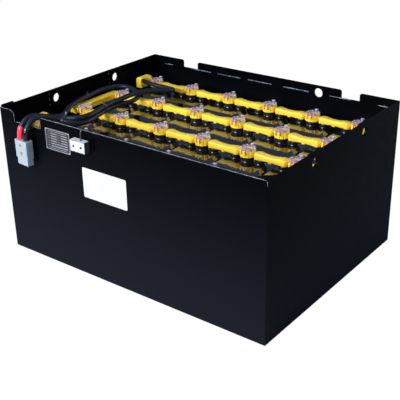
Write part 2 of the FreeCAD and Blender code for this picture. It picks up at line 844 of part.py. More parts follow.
def lug_cover():
    """The hood over a lug and its bolt, with a dome, an arm and a nozzle."""
    low = "size.cover_bottom"
    hood = new_body("hood")
    dome = new_sketch(hood, "XY_Plane", low)
    add_circle(dome, "0", "0", "size.boot_radius")
    pad(hood, dome, f"size.boot_top - {low}")
    fillet(hood, "size.boot_round", level_at(size.boot_top))
    arm = new_body("hood_arm")
    beam = new_sketch(arm, "XY_Plane", low)
    add_slot(beam, "size.boot_arm / 2", "size.lug_reach + size.boot_overhang")
    pad(arm, beam, f"size.lug_height + size.boot_nozzle - {low}")
    fillet(arm, "size.boot_round", lambda edge: level_at(size.lug_height + size.boot_nozzle)(edge)
           and edge.BoundBox.YMin < -1e-3)
    nozzle = along_lug("hood_nozzle", "size.boot_nozzle", "size.nozzle_length",
                       size.nozzle_length)
    outside = joined("hood_outside", hood, arm, nozzle)
    room = new_body("hood_room")
    below = f"{low} - {SPARE}"
    well = new_sketch(room, "XY_Plane", below)
    add_circle(well, "0", "0", "size.boot_radius - size.cover_wall")
    pad(room, well, f"size.boot_top - 2 * size.cover_wall - ({below})")
    passage = new_sketch(room, "XY_Plane", below)
    add_slot(passage, "size.boot_arm / 2 - size.cover_wall",
             "size.lug_reach + size.boot_overhang - size.cover_wall")
    pad(room, passage, f"size.lug_height + size.boot_nozzle - size.boot_roof - ({below})")
    bore = along_lug("hood_bore", "size.cable_radius + size.fit_gap", "size.nozzle_length",
                     size.barrel_length)
    hollow = joined("hood_hollow", room, bore)
    cover = doc.addObject("Part::Cut", "lug_cover")
    cover.Base = outside
    cover.Tool = hollow
    return cover


def at_cable_ends(name, piece):
    """A piece at the positive terminal and its mirror image at the negative one."""
    mirror = doc.addObject("Part::Mirroring", name + "_mirrored")
    mirror.Source = piece
    mirror.Normal = (0, 1, 0)
    whole = doc.addObject("Part::Compound", name)
    whole.Links = [copy_at(name + "_positive", piece, *terminal_at(0)),
                   copy_at(name + "_negative", mirror, *terminal_at(ROWS - 1))]


# Vents: a plug in the neck of each lid, its level float and its hinged cap.


def vent_plug():
    """A scalloped plug with a dished deck, a filler hole, a float guide and two hinge ears."""
    body = new_body("vent_plug")
    head = new_sketch(body, "XY_Plane", "size.neck_top")
    add_circle(head, "0", "0", "size.plug_radius")
    pad(body, head, "size.plug_top - size.neck_top")
    scallop = new_sketch(body, "XY_Plane", "size.plug_top")
    step = 180 / size.scallops
    reach = "(size.plug_radius + size.scallop_outset)"
    add_circle(scallop, f"{reach} * cos({step})", f"{reach} * sin({step})", "size.scallop_radius")
    first = pocket(body, scallop, "size.plug_top - size.neck_top")
    polar_pattern(body, first, "Z_Axis", int(size.scallops))
    dish = new_sketch(body, "XY_Plane", "size.plug_top")
    add_circle(dish, "0", "0", "size.dish_radius")
    pocket(body, dish, "size.plug_top - size.dish_floor")
    spigot = new_sketch(body, "XY_Plane", "size.spigot_bottom")
    add_circle(spigot, "0", "0", "size.spigot_radius")
    pad(body, spigot, "size.neck_top - size.spigot_bottom")
    well = new_sketch(body, "XY_Plane", "size.spigot_bottom")
    add_circle(well, "0", "0", "size.spigot_radius - size.spigot_wall")
    pocket(body, well, "size.dish_floor - size.deck_thick - size.spigot_bottom", reverse=True)
    ports = new_sketch(body, "XY_Plane", "size.dish_floor")
    add_circle(ports, "size.filler_across", "size.filler_along", "size.filler_radius")
    add_circle(ports, "size.float_across", "size.float_along", "size.float_radius + size.fit_gap")
    pocket(body, ports, "size.deck_thick")
    foot = new_sketch(body, "YZ_Plane", "-size.ear_half")
    add_rectangle(foot, "-size.hinge_back + size.ear_foot", "-size.dish_radius - size.fit_gap",
                  "size.plug_top - size.ear_drop", "size.plug_top - size.running_gap")
    pad(body, foot, "2 * size.ear_half")
    ear = new_sketch(body, "YZ_Plane", "-size.ear_half")
    eye = "size.knuckle_radius + size.fit_gap"
    add_rectangle(ear, f"-size.hinge_back - {eye}", f"-size.hinge_back + {eye}",
                  "size.plug_top - size.ear_drop", "size.hinge_height")
    pad(body, ear, "2 * size.ear_half")
    top = new_sketch(body, "YZ_Plane", "-size.ear_half")
    add_circle(top, "-size.hinge_back", "size.hinge_height", eye)
    pad(body, top, "2 * size.ear_half")
    gap = new_sketch(body, "YZ_Plane", "-size.knuckle_half - size.fit_gap / 2")
    add_rectangle(gap, f"-size.hinge_back - {eye} - {SPARE}", f"-size.hinge_back + {eye}",
                  f"size.plug_top - size.ear_drop - {SPARE}", f"size.hinge_height + {eye} + {SPARE}")
    pocket(body, gap, "2 * size.knuckle_half + size.fit_gap", reverse=True)
    pin_hole = new_sketch(body, "YZ_Plane", "-size.ear_half")
    add_circle(pin_hole, "-size.hinge_back", "size.hinge_height",
               "size.trunnion_radius + size.running_gap")
    pocket(body, pin_hole, "2 * size.ear_half", reverse=True)
    return body


def vent_float():
    """The red-tipped level float, which hangs by its collar in the plug's guide."""
    body = new_body("vent_float")
    stem = new_sketch(body, "XY_Plane", "size.float_low")
    add_circle(stem, "size.float_across", "size.float_along", "size.float_radius")
    pad(body, stem, "size.dish_floor + size.float_rise - size.float_low")
    collar = new_sketch(body, "XY_Plane", "size.dish_floor")
    add_circle(collar, "size.float_across", "size.float_along", "size.float_collar")
    pad(body, collar, "size.collar_thick")
    return body


def vent_cap():
    """The clear flip cap, hollow below, with its hinge knuckle, trunnions and opening tab."""
    body = new_body("vent_cap")
    disc = new_sketch(body, "XY_Plane", "size.cap_bottom")
    add_circle(disc, "0", "0", "size.plug_radius")
    pad(body, disc, "size.cap_height")
    hollow = new_sketch(body, "XY_Plane", "size.cap_bottom")
    add_circle(hollow, "0", "0", "size.plug_radius - size.cap_wall")
    pocket(body, hollow, "size.cap_height - size.cap_wall", reverse=True)
    relief = new_sketch(body, "XY_Plane", "size.cap_top")
    for side in ("-", ""):
        near = f"{side}size.knuckle_half"
        far = f"{side}(size.ear_half + size.fit_gap)"
        add_rectangle(relief, near, far, "-size.hinge_back", "-size.hinge_back + size.cap_relief")
    pocket(body, relief, "size.cap_height")
    web = new_sketch(body, "XY_Plane", "size.cap_bottom + size.web_lift")
    add_rectangle(web, "-size.knuckle_half", "size.knuckle_half", "-size.hinge_back",
                  "-size.plug_radius + size.web_inset")
    pad(body, web, "size.web_thick")
    knuckle = new_sketch(body, "YZ_Plane", "-size.knuckle_half")
    add_circle(knuckle, "-size.hinge_back", "size.hinge_height", "size.knuckle_radius")
    pad(body, knuckle, "2 * size.knuckle_half")
    trunnion = new_sketch(body, "YZ_Plane", "-size.trunnion_half")
    add_circle(trunnion, "-size.hinge_back", "size.hinge_height", "size.trunnion_radius")
    pad(body, trunnion, "2 * size.trunnion_half")
    tab = new_sketch(body, "XY_Plane", "size.cap_top - size.cap_wall")
    add_rectangle(tab, "-size.tab_left", "size.tab_right", "size.plug_radius - size.tab_root",
                  "size.tab_reach")
    pad(body, tab, "size.tab_thick")
    return body


# Cables: limp round leads that lie over the covers and hang through the notch to the connector.

POSITIVE_ROUTE = [
    (-432.9, 233.1, 421), (-407.87, 222.99, 421), (-371, 220, 419), (-332, 227, 416.5),
    (-294, 221, 418.5), (-263, 197, 426), (-258, 159, 433), (-284, 129, 439), (-311, 90, 441),
    (-319, 47, 441), (-317, 5, 440.5), (-318.5, -35, 440), (-314, -76, 440), (-305, -122, 440),
    (-293.5, -166, 440), (-287.5, -203, 441.5), (-298, -231, 441.5), (-321, -241, 439),
    (-347, -249, 439), (-359.5, -267, 443.5), (-367.5, -288, 449.5), (-372, -313, 458),
    (-373, -337, 465), (-373, -360, 467), (-377, -380.6, 453.6), (-381.7, -392.8, 430.4),
    (-381.7, -392.8, 407),
]
NEGATIVE_ROUTE = [
    (-432.9, -233.1, 421), (-413.43, -225.23, 421), (-401.5, -210.5, 420.5),
    (-403.5, -189, 420.3), (-416, -166, 420.6), (-434, -140, 421.5), (-446, -112, 423.5),
    (-453.5, -80, 425), (-460.5, -43, 426.5), (-465.5, -3, 427.3), (-471, 36, 427.5),
    (-472.5, 72, 427.5), (-464, 107, 427), (-441, 131, 426), (-407, 135.5, 425),
    (-367, 118, 424.4), (-335, 92, 423.8), (-311, 61, 423.6), (-305.5, 22, 423.6),
    (-317.5, -24, 423.6), (-320, -66, 423.6), (-309, -110, 423.6), (-299, -153, 423.6),
    (-286, -196, 424), (-286.5, -226, 425.5), (-299, -246.5, 429.5), (-318, -258.5, 435),
    (-341, -266.5, 438), (-350.5, -290, 449), (-354.5, -318, 460), (-353, -343, 466),
    (-351.5, -363, 465), (-352, -381, 453.6), (-353.3, -395.2, 430.4), (-353.3, -395.2, 407),
]
INDICATOR_ROUTE = [
    (-132, -382, 451), (-132, -382, 464), (-131.5, -380, 478), (-130.5, -371, 489),
    (-129, -357, 489), (-128, -346, 475), (-128, -341, 455), (-128, -340, 433),
    (-128, -340, 412),
]
POSITIVE_TIE_RUNS = (12, 17)
NEGATIVE_TIE_RUNS = (20, 26)
LONE_TIE_RUN = 8
SLEEVE_EDGES = 3
CONNECTOR_TOP = Vector(-367.5, -394, 407)
CONNECTOR_TURN = -5.0
BUSH_DEPTHS = (15, 41)


def terminal_at(row):
    """The free terminal at the left end of a row."""
    return f"{column_x(0)} - size.terminal_span / 2", row_y(row)


def tangent_path(name, corners):
    """Straight runs joined by arcs that touch them. Each arc takes 0.45 of its shorter run."""
    edges = []
    radii = []
    start = corners[0]
    for before, corner, after in zip(corners, corners[1:], corners[2:]):
        back = before - corner
        ahead = after - corner
        reach = 0.45 * min(back.Length, ahead.Length)
        back.normalize()
        ahead.normalize()
        half_turn = (math.pi - back.getAngle(ahead)) / 2
        radius = reach / math.tan(half_turn)
        inward = back + ahead
        inward.normalize()
        middle = corner + inward * (radius / math.cos(half_turn) - radius)
        first, last = corner + back * reach, corner + ahead * reach
        edges.append(Part.LineSegment(start, first).toShape())
        edges.append(Part.Arc(first, middle, last).toShape())
        radii.append(radius)
        start = last
    edges.append(Part.LineSegment(start, corners[-1]).toShape())
    print(name, "bend radii:", [round(r, 1) for r in radii])
    return edges


def tube(edges, radius):
    """A round solid along a path of tangent edges."""
    path = Part.Wire(edges)
    start = edges[0].Vertexes[0].Point
    direction = edges[0].tangentAt(edges[0].FirstParameter)
    section = Part.Face(Part.Wire(Part.Circle(start, direction, radius).toShape()))
    solid = path.makePipe(section)
    expected = math.pi * radius**2 * path.Length
    print("  length", round(path.Length, 1), "volume ratio", round(solid.Volume / expected, 5))
    if abs(solid.Volume / expected - 1) > 0.002:
        raise RuntimeError("the tube's volume is not its section times its length")
    return solid


def cord(name, solid):
    feature = doc.addObject("Part::Feature", name)
    feature.Label = name
    feature.Shape = solid
    return feature


def sleeve(name, edges):
    """The shrunk sleeve over a cable's last arcs above the connector."""
    outside = tube(edges, size.sleeve_radius)
    inside = tube(edges, size.cable_radius + size.sleeve_gap)
    return cord(name, outside.cut(inside))


def corners_of(points):
    return [Vector(*point) for point in points]


def cables():
    for pole, points in (("positive", POSITIVE_ROUTE), ("negative", NEGATIVE_ROUTE)):
        edges = tangent_path(f"{pole}_cable", corners_of(points))
        cord(f"{pole}_cable", tube(edges, size.cable_radius))
        sleeve(f"{pole}_sleeve", edges[-SLEEVE_EDGES:])
    wire = tangent_path("indicator_wire", corners_of(INDICATOR_ROUTE))
    cord("indicator_wire", tube(wire, size.wire_radius))


def cable_tie(centre, direction, others):
    """A flat band pulled round one or two cables where they run straight, with its lock."""
    radius = size.cable_radius + size.tie_gap
    spots = [centre] + others
    hull = None
    for grow in (size.tie_thick, 0):
        rings = [Part.Wire(Part.Circle(spot, direction, radius + grow).toShape()) for spot in spots]
        discs = [Part.Face(ring) for ring in rings]
        outline = discs[0]
        if len(spots) == 2:
            across = spots[1] - spots[0]
            side = direction.cross(across)
            side.normalize()
            reach = radius + grow
            corners = [spots[0] + side * reach, spots[1] + side * reach,
                       spots[1] - side * reach, spots[0] - side * reach]
            block = Part.Face(Part.makePolygon(corners + corners[:1]))
            outline = block.fuse(discs).removeSplitter()
        solid = outline.extrude(direction * size.tie_width)
        hull = solid if hull is None else hull.cut(solid)
    hull.translate(direction * (-size.tie_width / 2))
    top = max(spots, key=lambda spot: spot.z)
    up = Vector(0, 0, 1)
    corner = Vector(-size.lock_length / 2, -size.lock_width / 2, 0)
    lock = Part.makeBox(size.lock_length, size.lock_width, size.lock_height, corner)
    turn = Rotation(direction, Vector(), up, "XZY")
    lock.Placement = Placement(top + up * (radius + size.tie_thick / 2), turn)
    return hull.fuse(lock)


def cable_ties():
    def middle(points, index):
        first, last = corners_of(points[index:index + 2])
        return (first + last) * 0.5, (last - first).normalize()

    spot, along = middle(NEGATIVE_ROUTE, LONE_TIE_RUN)
    solids = [cable_tie(spot, along, [])]
    for upper_run, lower_run in zip(POSITIVE_TIE_RUNS, NEGATIVE_TIE_RUNS):
        upper, along = middle(POSITIVE_ROUTE, upper_run)
        lower, beside = middle(NEGATIVE_ROUTE, lower_run)
        lower = lower - beside * ((lower - upper).dot(along) / beside.dot(along))
        solids.append(cable_tie(upper, along, [lower]))
    cord("cable_ties", Part.makeCompound(solids))


def connector_housing():
    """The grey two-pole connector body, hanging with its mouths down."""
    body = new_body("connector_housing")
    upper = new_sketch(body, "XY_Plane", "-size.connector_upper")
    add_centred(upper, "size.connector_width", "size.connector_thick")
    pad(body, upper, "size.connector_upper")
    fillet(body, "size.connector_round", upright)
    lower = new_sketch(body, "XY_Plane", "-size.connector_upper - size.connector_lower")
    add_centred(lower, "size.connector_width - 2 * size.shoulder_width",
                "size.connector_thick - 2 * size.shoulder_depth")
    pad(body, lower, f"size.connector_lower + {SPARE}")
    groove = new_sketch(body, "XY_Plane", "-size.grip_top")
    for side in ("-", ""):
        edge = f"{side}size.connector_width / 2"
        other = "+" if side else "-"
        add_rectangle(groove, f"{edge} {other} size.grip_depth", edge, "-size.connector_thick / 2",
                      "size.connector_thick / 2")
    first = pocket(body, groove, "size.grip_gap")
    linear_pattern(body, first, "Z_Axis", f"size.grip_pitch * {GRIP_GROOVES - 1}", GRIP_GROOVES)
    body.Tip.Reversed = True
    doc.recompute()
    bores = new_sketch(body, "XY_Plane", "0")
    for side in ("-", ""):
        add_circle(bores, f"{side}size.pole_spacing / 2", "0", "size.cable_radius + size.fit_gap")
    pocket(body, bores, "size.contact_barrel")
    mouths = new_sketch(body, "XY_Plane", "-size.connector_upper - size.connector_lower")
    for side in ("-", ""):
        middle = f"{side}size.pole_spacing / 2"
        wide = "size.mouth_width / 2"
        add_rectangle(mouths, f"{middle} - {wide}", f"{middle} + {wide}", "-size.mouth_thick / 2",
                      "size.mouth_thick / 2")
    pocket(body, mouths, "size.mouth_depth", reverse=True)
    slots = new_sketch(body, "XY_Plane", "-size.contact_barrel")
    for side in ("-", ""):
        middle = f"{side}size.pole_spacing / 2"
        half = "(size.blade_width / 2 + size.fit_gap)"
        add_rectangle(slots, f"{middle} - {half}", f"{middle} + {half}",
                      "size.blade_offset - size.fit_gap",
                      "size.blade_offset + size.blade_thick + size.fit_gap")
    pocket(body, slots, "size.connector_upper + size.connector_lower - size.mouth_depth"
           " - size.contact_barrel")
    windows = new_sketch(body, "XZ_Plane", "size.connector_thick / 2")
    for depth in BUSH_DEPTHS:
        add_rectangle(windows, "-size.bush_half", "size.bush_half", f"-{depth} - size.bush_half",
                      f"-{depth} + size.bush_half")
    pocket(body, windows, "size.bush_seat")
    body.Placement = Placement(CONNECTOR_TOP, Rotation(Vector(0, 0, 1), CONNECTOR_TURN))
    return body


def connector_contacts():
    """The two plated contacts, each with a round barrel for the cable and a flat blade."""
    contact = new_body("connector_contact")
    barrel = new_sketch(contact, "XY_Plane", "-size.contact_barrel")
    add_circle(barrel, "0", "0", "size.cable_radius")
    pad(contact, barrel, "size.contact_barrel")
    whole = "size.connector_upper + size.connector_lower - size.blade_short"
    blade = new_sketch(contact, "XY_Plane", f"-({whole})")
    add_rectangle(blade, "-size.blade_width / 2", "size.blade_width / 2", "size.blade_offset",
                  "size.blade_offset + size.blade_thick")
    pad(contact, blade, f"{whole} + {SPARE} - size.contact_barrel")
    in_connector("connector_contacts", contact, [(-size.pole_spacing / 2, 0),
                                                 (size.pole_spacing / 2, 0)])


def connector_bushes():
    """The two square brass bushes that keep the contacts' springs, in the broad front face."""
    bush = new_body("connector_bush")
    square = new_sketch(bush, "XZ_Plane", "size.connector_thick / 2 - size.bush_seat")
    add_centred(square, "2 * size.bush_half", "2 * size.bush_half")
    pad(bush, square, "size.bush_thick")
    in_connector("connector_bushes", bush, [(0, -BUSH_DEPTHS[0]), (0, -BUSH_DEPTHS[1])])


def in_connector(name, piece, places):
    """Copies of a piece at places across and below the connector's top face."""
    whole = doc.addObject("Part::Compound", name)
    links = []
    for i, (across, height) in enumerate(places, start=1):
        turn = Rotation(Vector(0, 0, 1), CONNECTOR_TURN)
        spot = CONNECTOR_TOP + turn.multVec(Vector(across, 0, height))
        links.append(copy_at(f"{name}_{i}", piece, str(spot.x), str(spot.y), str(spot.z),
                             CONNECTOR_TURN))
    whole.Links = links


# The name plate and the level indicator on the front wall.


def name_plate():
    body = new_body("name_plate")
    body.setExpression("Placement.Base.y", "size.front_face")
    outline = new_sketch(body, "XZ_Plane")
    left = "-size.case_width / 2 + size.plate_left"
    add_rectangle(outline, left, f"{left} + size.plate_width", "size.plate_low",
                  "size.plate_low + size.plate_height")
    pad(body, outline, "size.plate_thick")
    fillet(body, "size.plate_round", lengthwise)
    return body


def front_block(name, depth_from, thick, left, right, low, high):
    """A plain plate or block that lies flat before the front wall."""
    body = new_body(name)
    body.setExpression("Placement.Base.y", f"size.front_face - ({depth_from})")
    outline = new_sketch(body, "XZ_Plane")
    add_rectangle(outline, left, right, low, high)
    pad(body, outline, thick)
    return body


def indicator():
    """The level indicator: its bracket, its case and two lamps."""
    middle = "size.indicator_place"
    half = "size.indicator_width / 2"
    low = "size.indicator_low"
    high = f"{low} + size.indicator_height"
    front_block("indicator_bracket", "0", "size.bracket_thick", f"{middle} - size.bracket_left",
                f"{middle} + {half} + size.bracket_right", f"{low} + size.bracket_rise",
                f"{high} + size.bracket_rise")
    case = front_block("indicator_case", "size.bracket_thick", "size.indicator_depth",
                       f"{middle} - {half}", f"{middle} + {half}", low, high)
    fillet(case, "size.indicator_round", lengthwise)
    before = "size.bracket_thick + size.indicator_depth"
    lamp_height = f"{low} + size.indicator_height / 2"
    lamp = new_body("indicator_lamp")
    lens = new_sketch(lamp, "XZ_Plane", "0")
    add_circle(lens, "0", lamp_height, "size.lamp_radius")
    pad(lamp, lens, "size.lamp_proud")
    fillet(lamp, "size.lamp_round", lambda edge: edge.BoundBox.YLength < 1e-4
           and abs(edge.BoundBox.YMin + size.lamp_proud) < 1e-4)
    places = [(f"{middle} {side} size.lamp_spacing / 2", f"size.front_face - ({before})")
              for side in "-+"]
    group("indicator_lamps", lamp, places)


def level_sensor():
    """The sensor's gland in a lid of the front row, below the indicator, where its wire ends."""
    body = new_body("level_sensor")
    body.setExpression("Placement.Base.x", f"{column_x(SENSOR_COLUMN)} - size.sensor_left")
    body.setExpression("Placement.Base.y", f"{row_y(ROWS - 1)} - size.sensor_front")
    base = new_sketch(body, "XY_Plane", "size.lid_top")
    add_circle(base, "0", "0", "size.sensor_radius")
    pad(body, base, "size.sensor_base_top - size.lid_top")
    gland = new_sketch(body, "XY_Plane", "size.sensor_base_top")
    add_circle(gland, "0", "0", "size.sensor_gland")
    pad(body, gland, "size.sensor_top - size.sensor_base_top")
    return body


def build():
    tray_floor()
    tray_front_wall()
    tray_rear_wall()
    rear_strips()
    side_wall("tray_left_wall", "-size.case_width / 2", 1, True)
    side_wall("tray_right_wall", "size.case_width / 2", -1, False)
    lifting_doublers()
    corner_gusset()
    group("cell_jars", cell_jar(), all_cells())
    group("plate_groups", plate_group(), all_cells())
    group("cell_lids", cell_lid(), all_cells())
    group("terminal_posts", terminal_post(), terminal_places())
    row_packers()
    group("intercell_straps", strap("intercell_strap", "size.lobe_span", True), joints_in_rows())
    group("row_end_straps", strap("row_end_strap", "size.pitch_y", False), row_ends())
    group("strap_bolts", strap_bolt(), terminal_places())
    group("strap_covers", strap_cover(), joints_in_rows())
    group("end_strap_covers", end_strap_cover(), row_ends())
    at_cable_ends("cable_lugs", cable_lug())
    at_cable_ends("lug_covers", lug_cover())
    group("vent_plugs", vent_plug(), all_cells())
    group("vent_floats", vent_float(), all_cells())
    cap = vent_cap()
    for row in range(ROWS):
        for column in range(COLUMNS):
            copy_at(f"vent_cap_r{row + 1}_c{column + 1}", cap, column_x(column), row_y(row))
    cables()
    cable_ties()
    connector_housing()
    connector_contacts()
    connector_bushes()
    name_plate()
    indicator()
    level_sensor()


NODES = [
    "tray_floor", "tray_front_wall", "tray_rear_wall", "tray_left_wall", "tray_right_wall",
    "rear_strips", "lifting_doublers", "corner_gusset", "cell_jars", "plate_groups", "cell_lids",
    "terminal_posts", "row_packers", "intercell_straps", "row_end_straps", "strap_bolts",
    "strap_covers", "end_strap_covers", "cable_lugs", "lug_covers", "vent_plugs", "vent_floats",
    "positive_cable", "negative_cable", "positive_sleeve", "negative_sleeve", "cable_ties",
    "connector_housing", "connector_contacts", "connector_bushes", "name_plate",
    "indicator_bracket", "indicator_case", "indicator_lamps", "indicator_wire", "level_sensor",
] + [f"vent_cap_r{row + 1}_c{column + 1}" for row in range(ROWS) for column in range(COLUMNS)]


def write_parts():
    """Check every object and every sub-part's solids, then write one file for each sub-part."""
    for item in doc.Objects:
        if "Invalid" in item.State or "Error" in item.State:
            raise RuntimeError(f"{item.Name} is in error")
    shapes = {}
    for node in NODES:
        shape = Part.getShape(doc.getObjectsByLabel(node)[0])
        if shape.isNull() or not shape.isValid() or not shape.Solids:
            raise RuntimeError(f"{node} has no valid solid")
        shapes[node] = shape
    for node, shape in shapes.items():
        shape.exportStep(f"parts/{node}.step")
    print(len(shapes), "sub-parts,", sum(len(shape.Solids) for shape in shapes.values()), "solids")


build()
doc.recompute()
write_parts()
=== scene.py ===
import math
import random

import bmesh
import bpy
from mathutils import Matrix, Vector


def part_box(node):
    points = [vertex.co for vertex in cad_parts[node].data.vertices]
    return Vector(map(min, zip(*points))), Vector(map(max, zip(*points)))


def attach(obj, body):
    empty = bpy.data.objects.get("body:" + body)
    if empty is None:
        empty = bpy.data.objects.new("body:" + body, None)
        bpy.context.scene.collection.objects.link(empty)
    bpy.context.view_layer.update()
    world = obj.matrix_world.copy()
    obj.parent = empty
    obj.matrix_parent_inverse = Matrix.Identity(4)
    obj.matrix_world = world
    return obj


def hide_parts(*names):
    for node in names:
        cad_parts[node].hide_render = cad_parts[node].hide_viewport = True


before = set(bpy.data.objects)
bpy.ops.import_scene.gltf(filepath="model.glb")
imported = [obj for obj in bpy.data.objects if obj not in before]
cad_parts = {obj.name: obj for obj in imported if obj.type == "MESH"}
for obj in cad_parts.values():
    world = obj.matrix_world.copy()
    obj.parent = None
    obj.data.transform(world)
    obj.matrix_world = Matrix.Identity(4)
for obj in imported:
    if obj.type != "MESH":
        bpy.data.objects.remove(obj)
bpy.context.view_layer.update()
random.seed(7)  # the beads' wavering is the same in each run

MM = 0.001
COLUMNS = 6
ROWS = 4

# The tray's inner faces and the cells' pitch, read from the frame.
FLOOR_LOW, FLOOR_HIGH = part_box("tray_floor")
PITCH_X = (FLOOR_HIGH.x - FLOOR_LOW.x) / COLUMNS
PITCH_Y = (FLOOR_HIGH.y - FLOOR_LOW.y) / ROWS
FRONT_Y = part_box("tray_front_wall")[0].y
REAR_Y = FLOOR_HIGH.y


def cells():
    """The middle of each cell on plan, with its row and column."""
    for row in range(ROWS):
        for column in range(COLUMNS):
            spot = Vector((PITCH_X * (column - 2.5), PITCH_Y * (1.5 - row), 0))
            yield row, column, spot


# Camera, where the photograph was taken from.

CAMERA_PLACE = Vector((1.45634, -1.87838, 1.27438))
CAMERA_FORWARD = Vector((-0.55538, 0.71395, -0.42642))
CAMERA_RIGHT = Vector((0.79445, 0.60706, -0.01832))
CAMERA_LENS = 73.0
CAMERA_SENSOR = 36
CAMERA_FAR = 50


def make_camera():
    data = bpy.data.cameras.new("camera")
    data.lens = CAMERA_LENS
    data.sensor_width = CAMERA_SENSOR
    data.clip_end = CAMERA_FAR
    camera = bpy.data.objects.new("camera", data)
    bpy.context.scene.collection.objects.link(camera)
    up = CAMERA_RIGHT.cross(CAMERA_FORWARD)
    turn = Matrix((CAMERA_RIGHT, up, -CAMERA_FORWARD)).transposed()
    camera.matrix_world = Matrix.Translation(CAMERA_PLACE) @ turn.to_4x4()
    bpy.context.scene.camera = camera


make_camera()


# Materials. Sizes of grain are in metres, on the pieces' own coordinates.


class Finish:
    """A material with one Principled shader, and short calls that wire nodes to it."""

    def __init__(self, name, color, roughness, **values):
        self.material = bpy.data.materials.new(name)
        self.material.use_nodes = True
        self.tree = self.material.node_tree
        self.shader = self.tree.nodes["Principled BSDF"]
        self.shader.inputs["Base Color"].default_value = (*color, 1)
        self.shader.inputs["Roughness"].default_value = roughness
        for socket, value in values.items():
            self.shader.inputs[socket.replace("_", " ")].default_value = value
        self.material.diffuse_color = (*color, 1)
        self.spot = self.node("ShaderNodeTexCoord").outputs["Object"]
        self.relief = None

    def node(self, kind, **values):
        """A node of a kind; each value goes to the input of that name, or to the setting."""
        made = self.tree.nodes.new(kind)
        for name, value in values.items():
            if name in made.inputs:
                made.inputs[name].default_value = value
            else:
                setattr(made, name, value)
        return made

    def link(self, output, socket):
        self.tree.links.new(output, socket)

    def noise(self, grain, detail=3.0, stretch=(1, 1, 1)):
        """Noise whose spots are about the grain across, from 0 to 1."""
        mapping = self.node("ShaderNodeMapping", Scale=stretch)
        self.link(self.spot, mapping.inputs["Vector"])
        made = self.node("ShaderNodeTexNoise", Scale=1 / grain, Detail=detail)
        self.link(mapping.outputs["Vector"], made.inputs["Vector"])
        return made.outputs["Fac"]

    def spread(self, value, low, high, start=0.35, end=0.65):
        """The value's middle range stretched to run from low to high."""
        made = self.node("ShaderNodeMapRange")
        for name, number in (("From Min", start), ("From Max", end), ("To Min", low),
                             ("To Max", high)):
            made.inputs[name].default_value = number
        self.link(value, made.inputs["Value"])
        return made.outputs["Result"]

    def rise(self, low, high):
        """How far up a point is, from 0 at the low height to 1 at the high one, in metres."""
        apart = self.node("ShaderNodeSeparateXYZ")
        self.link(self.spot, apart.inputs[0])
        return self.spread(apart.outputs["Z"], 0, 1, low, high)

    def mix(self, value, low, high, socket):
        """A socket that runs from low to high with the value."""
        self.link(self.spread(value, low, high, 0, 1), self.shader.inputs[socket])
        return self

    def tint(self, value, first, second):
        """Base colour that runs from the first to the second with the value.

        A mix node has its two colours on its sockets 6 and 7 and its mixed colour on output 2.
        """
        ramp = self.node("ShaderNodeMix", data_type="RGBA")
        for socket, color in ((6, first), (7, second)):
            ramp.inputs[socket].default_value = (*color, 1)
        self.link(value, ramp.inputs[0])
        self.link(ramp.outputs[2], self.shader.inputs["Base Color"])
        return self

    def rough(self, value, low, high):
        """Roughness that runs from low to high over the value's middle range."""
        self.link(self.spread(value, low, high), self.shader.inputs["Roughness"])
        return self

    def bump(self, value, depth):
        """Relief of a depth in metres, laid over what is there already."""
        made = self.node("ShaderNodeBump", Strength=1.0, Distance=depth)
        self.link(value, made.inputs["Height"])
        if self.relief:
            self.link(self.relief, made.inputs["Normal"])
        self.relief = made.outputs["Normal"]
        self.link(self.relief, self.shader.inputs["Normal"])
        return self


# Heights in metres over which the painted floor reflection in the tray's paint fades out upwards.
PAINT_REFLECTION_STRONGEST = 0.0
PAINT_REFLECTION_FADED = 0.46


def paint_finish():
    """Black coating with a fine orange peel, lighter towards the floor as a painted reflection of the
    floor.
    """
    made = Finish("tray_paint", (0.004, 0.005, 0.009), 0.36, Specular_IOR_Level=0.03)
    # Painted reflection: the base colour lightens towards the floor to stand in for the floor mirrored
    # in the paint.
    made.tint(made.rise(PAINT_REFLECTION_STRONGEST, PAINT_REFLECTION_FADED), (0.0086, 0.0100, 0.0150), (0.0006, 0.0008, 0.0016))
    made.rough(made.noise(0.035, 6, (1, 1, 2.5)), 0.32, 0.40)
    return made.bump(made.noise(0.0032, 2), 0.00004)


def plastic_finish(name, first, second, roughness, grain=0.02, peel=0.00004, **values):
    """Moulded plastic: slightly uneven in colour and gloss, with a faint skin."""
    made = Finish(name, first, roughness, **values)
    made.tint(made.spread(made.noise(grain, 4), 0, 1), first, second)
    made.rough(made.noise(grain * 0.4, 5), roughness * 0.8, roughness * 1.25)
    return made.bump(made.noise(0.0016, 2), peel)


def metal_finish(name, first, second, roughness, stretch=(1, 1, 1)):
    """Bare or plated metal with a fine grain, drawn out along an axis by the stretch."""
    made = Finish(name, first, roughness, Metallic=1.0)
    made.tint(made.spread(made.noise(0.004, 5, stretch), 0, 1), first, second)
    made.rough(made.noise(0.002, 4, stretch), roughness * 0.7, roughness * 1.4)
    return made.bump(made.noise(0.0008, 2, stretch), 0.00003)


def clear_finish():
    """Thin clear plastic with a faint lilac tone, denser in the swirls of its moulding."""
    made = Finish("clear_plastic", (0.80, 0.76, 0.90), 0.08)
    made.rough(made.noise(0.006, 4), 0.05, 0.12)
    made.link(made.spread(made.noise(0.007, 2), 0.06, 0.22), made.shader.inputs["Alpha"])
    return made


BOSS_LOW = 0.3836
BOSS_HIGH = 0.3846


def lid_finish():
    """Glossy black lids, a little wavy, that mirror the covers above them, with duller bosses."""
    made = Finish("lid_plastic", (0.004, 0.0042, 0.006), 0.06, Specular_IOR_Level=0.8, IOR=1.75)
    bosses = made.rise(BOSS_LOW, BOSS_HIGH)
    made.mix(bosses, 0.05, 0.5, "Roughness").mix(bosses, 0.85, 0.12, "Specular IOR Level")
    return made.bump(made.noise(0.05, 2), 0.0005)


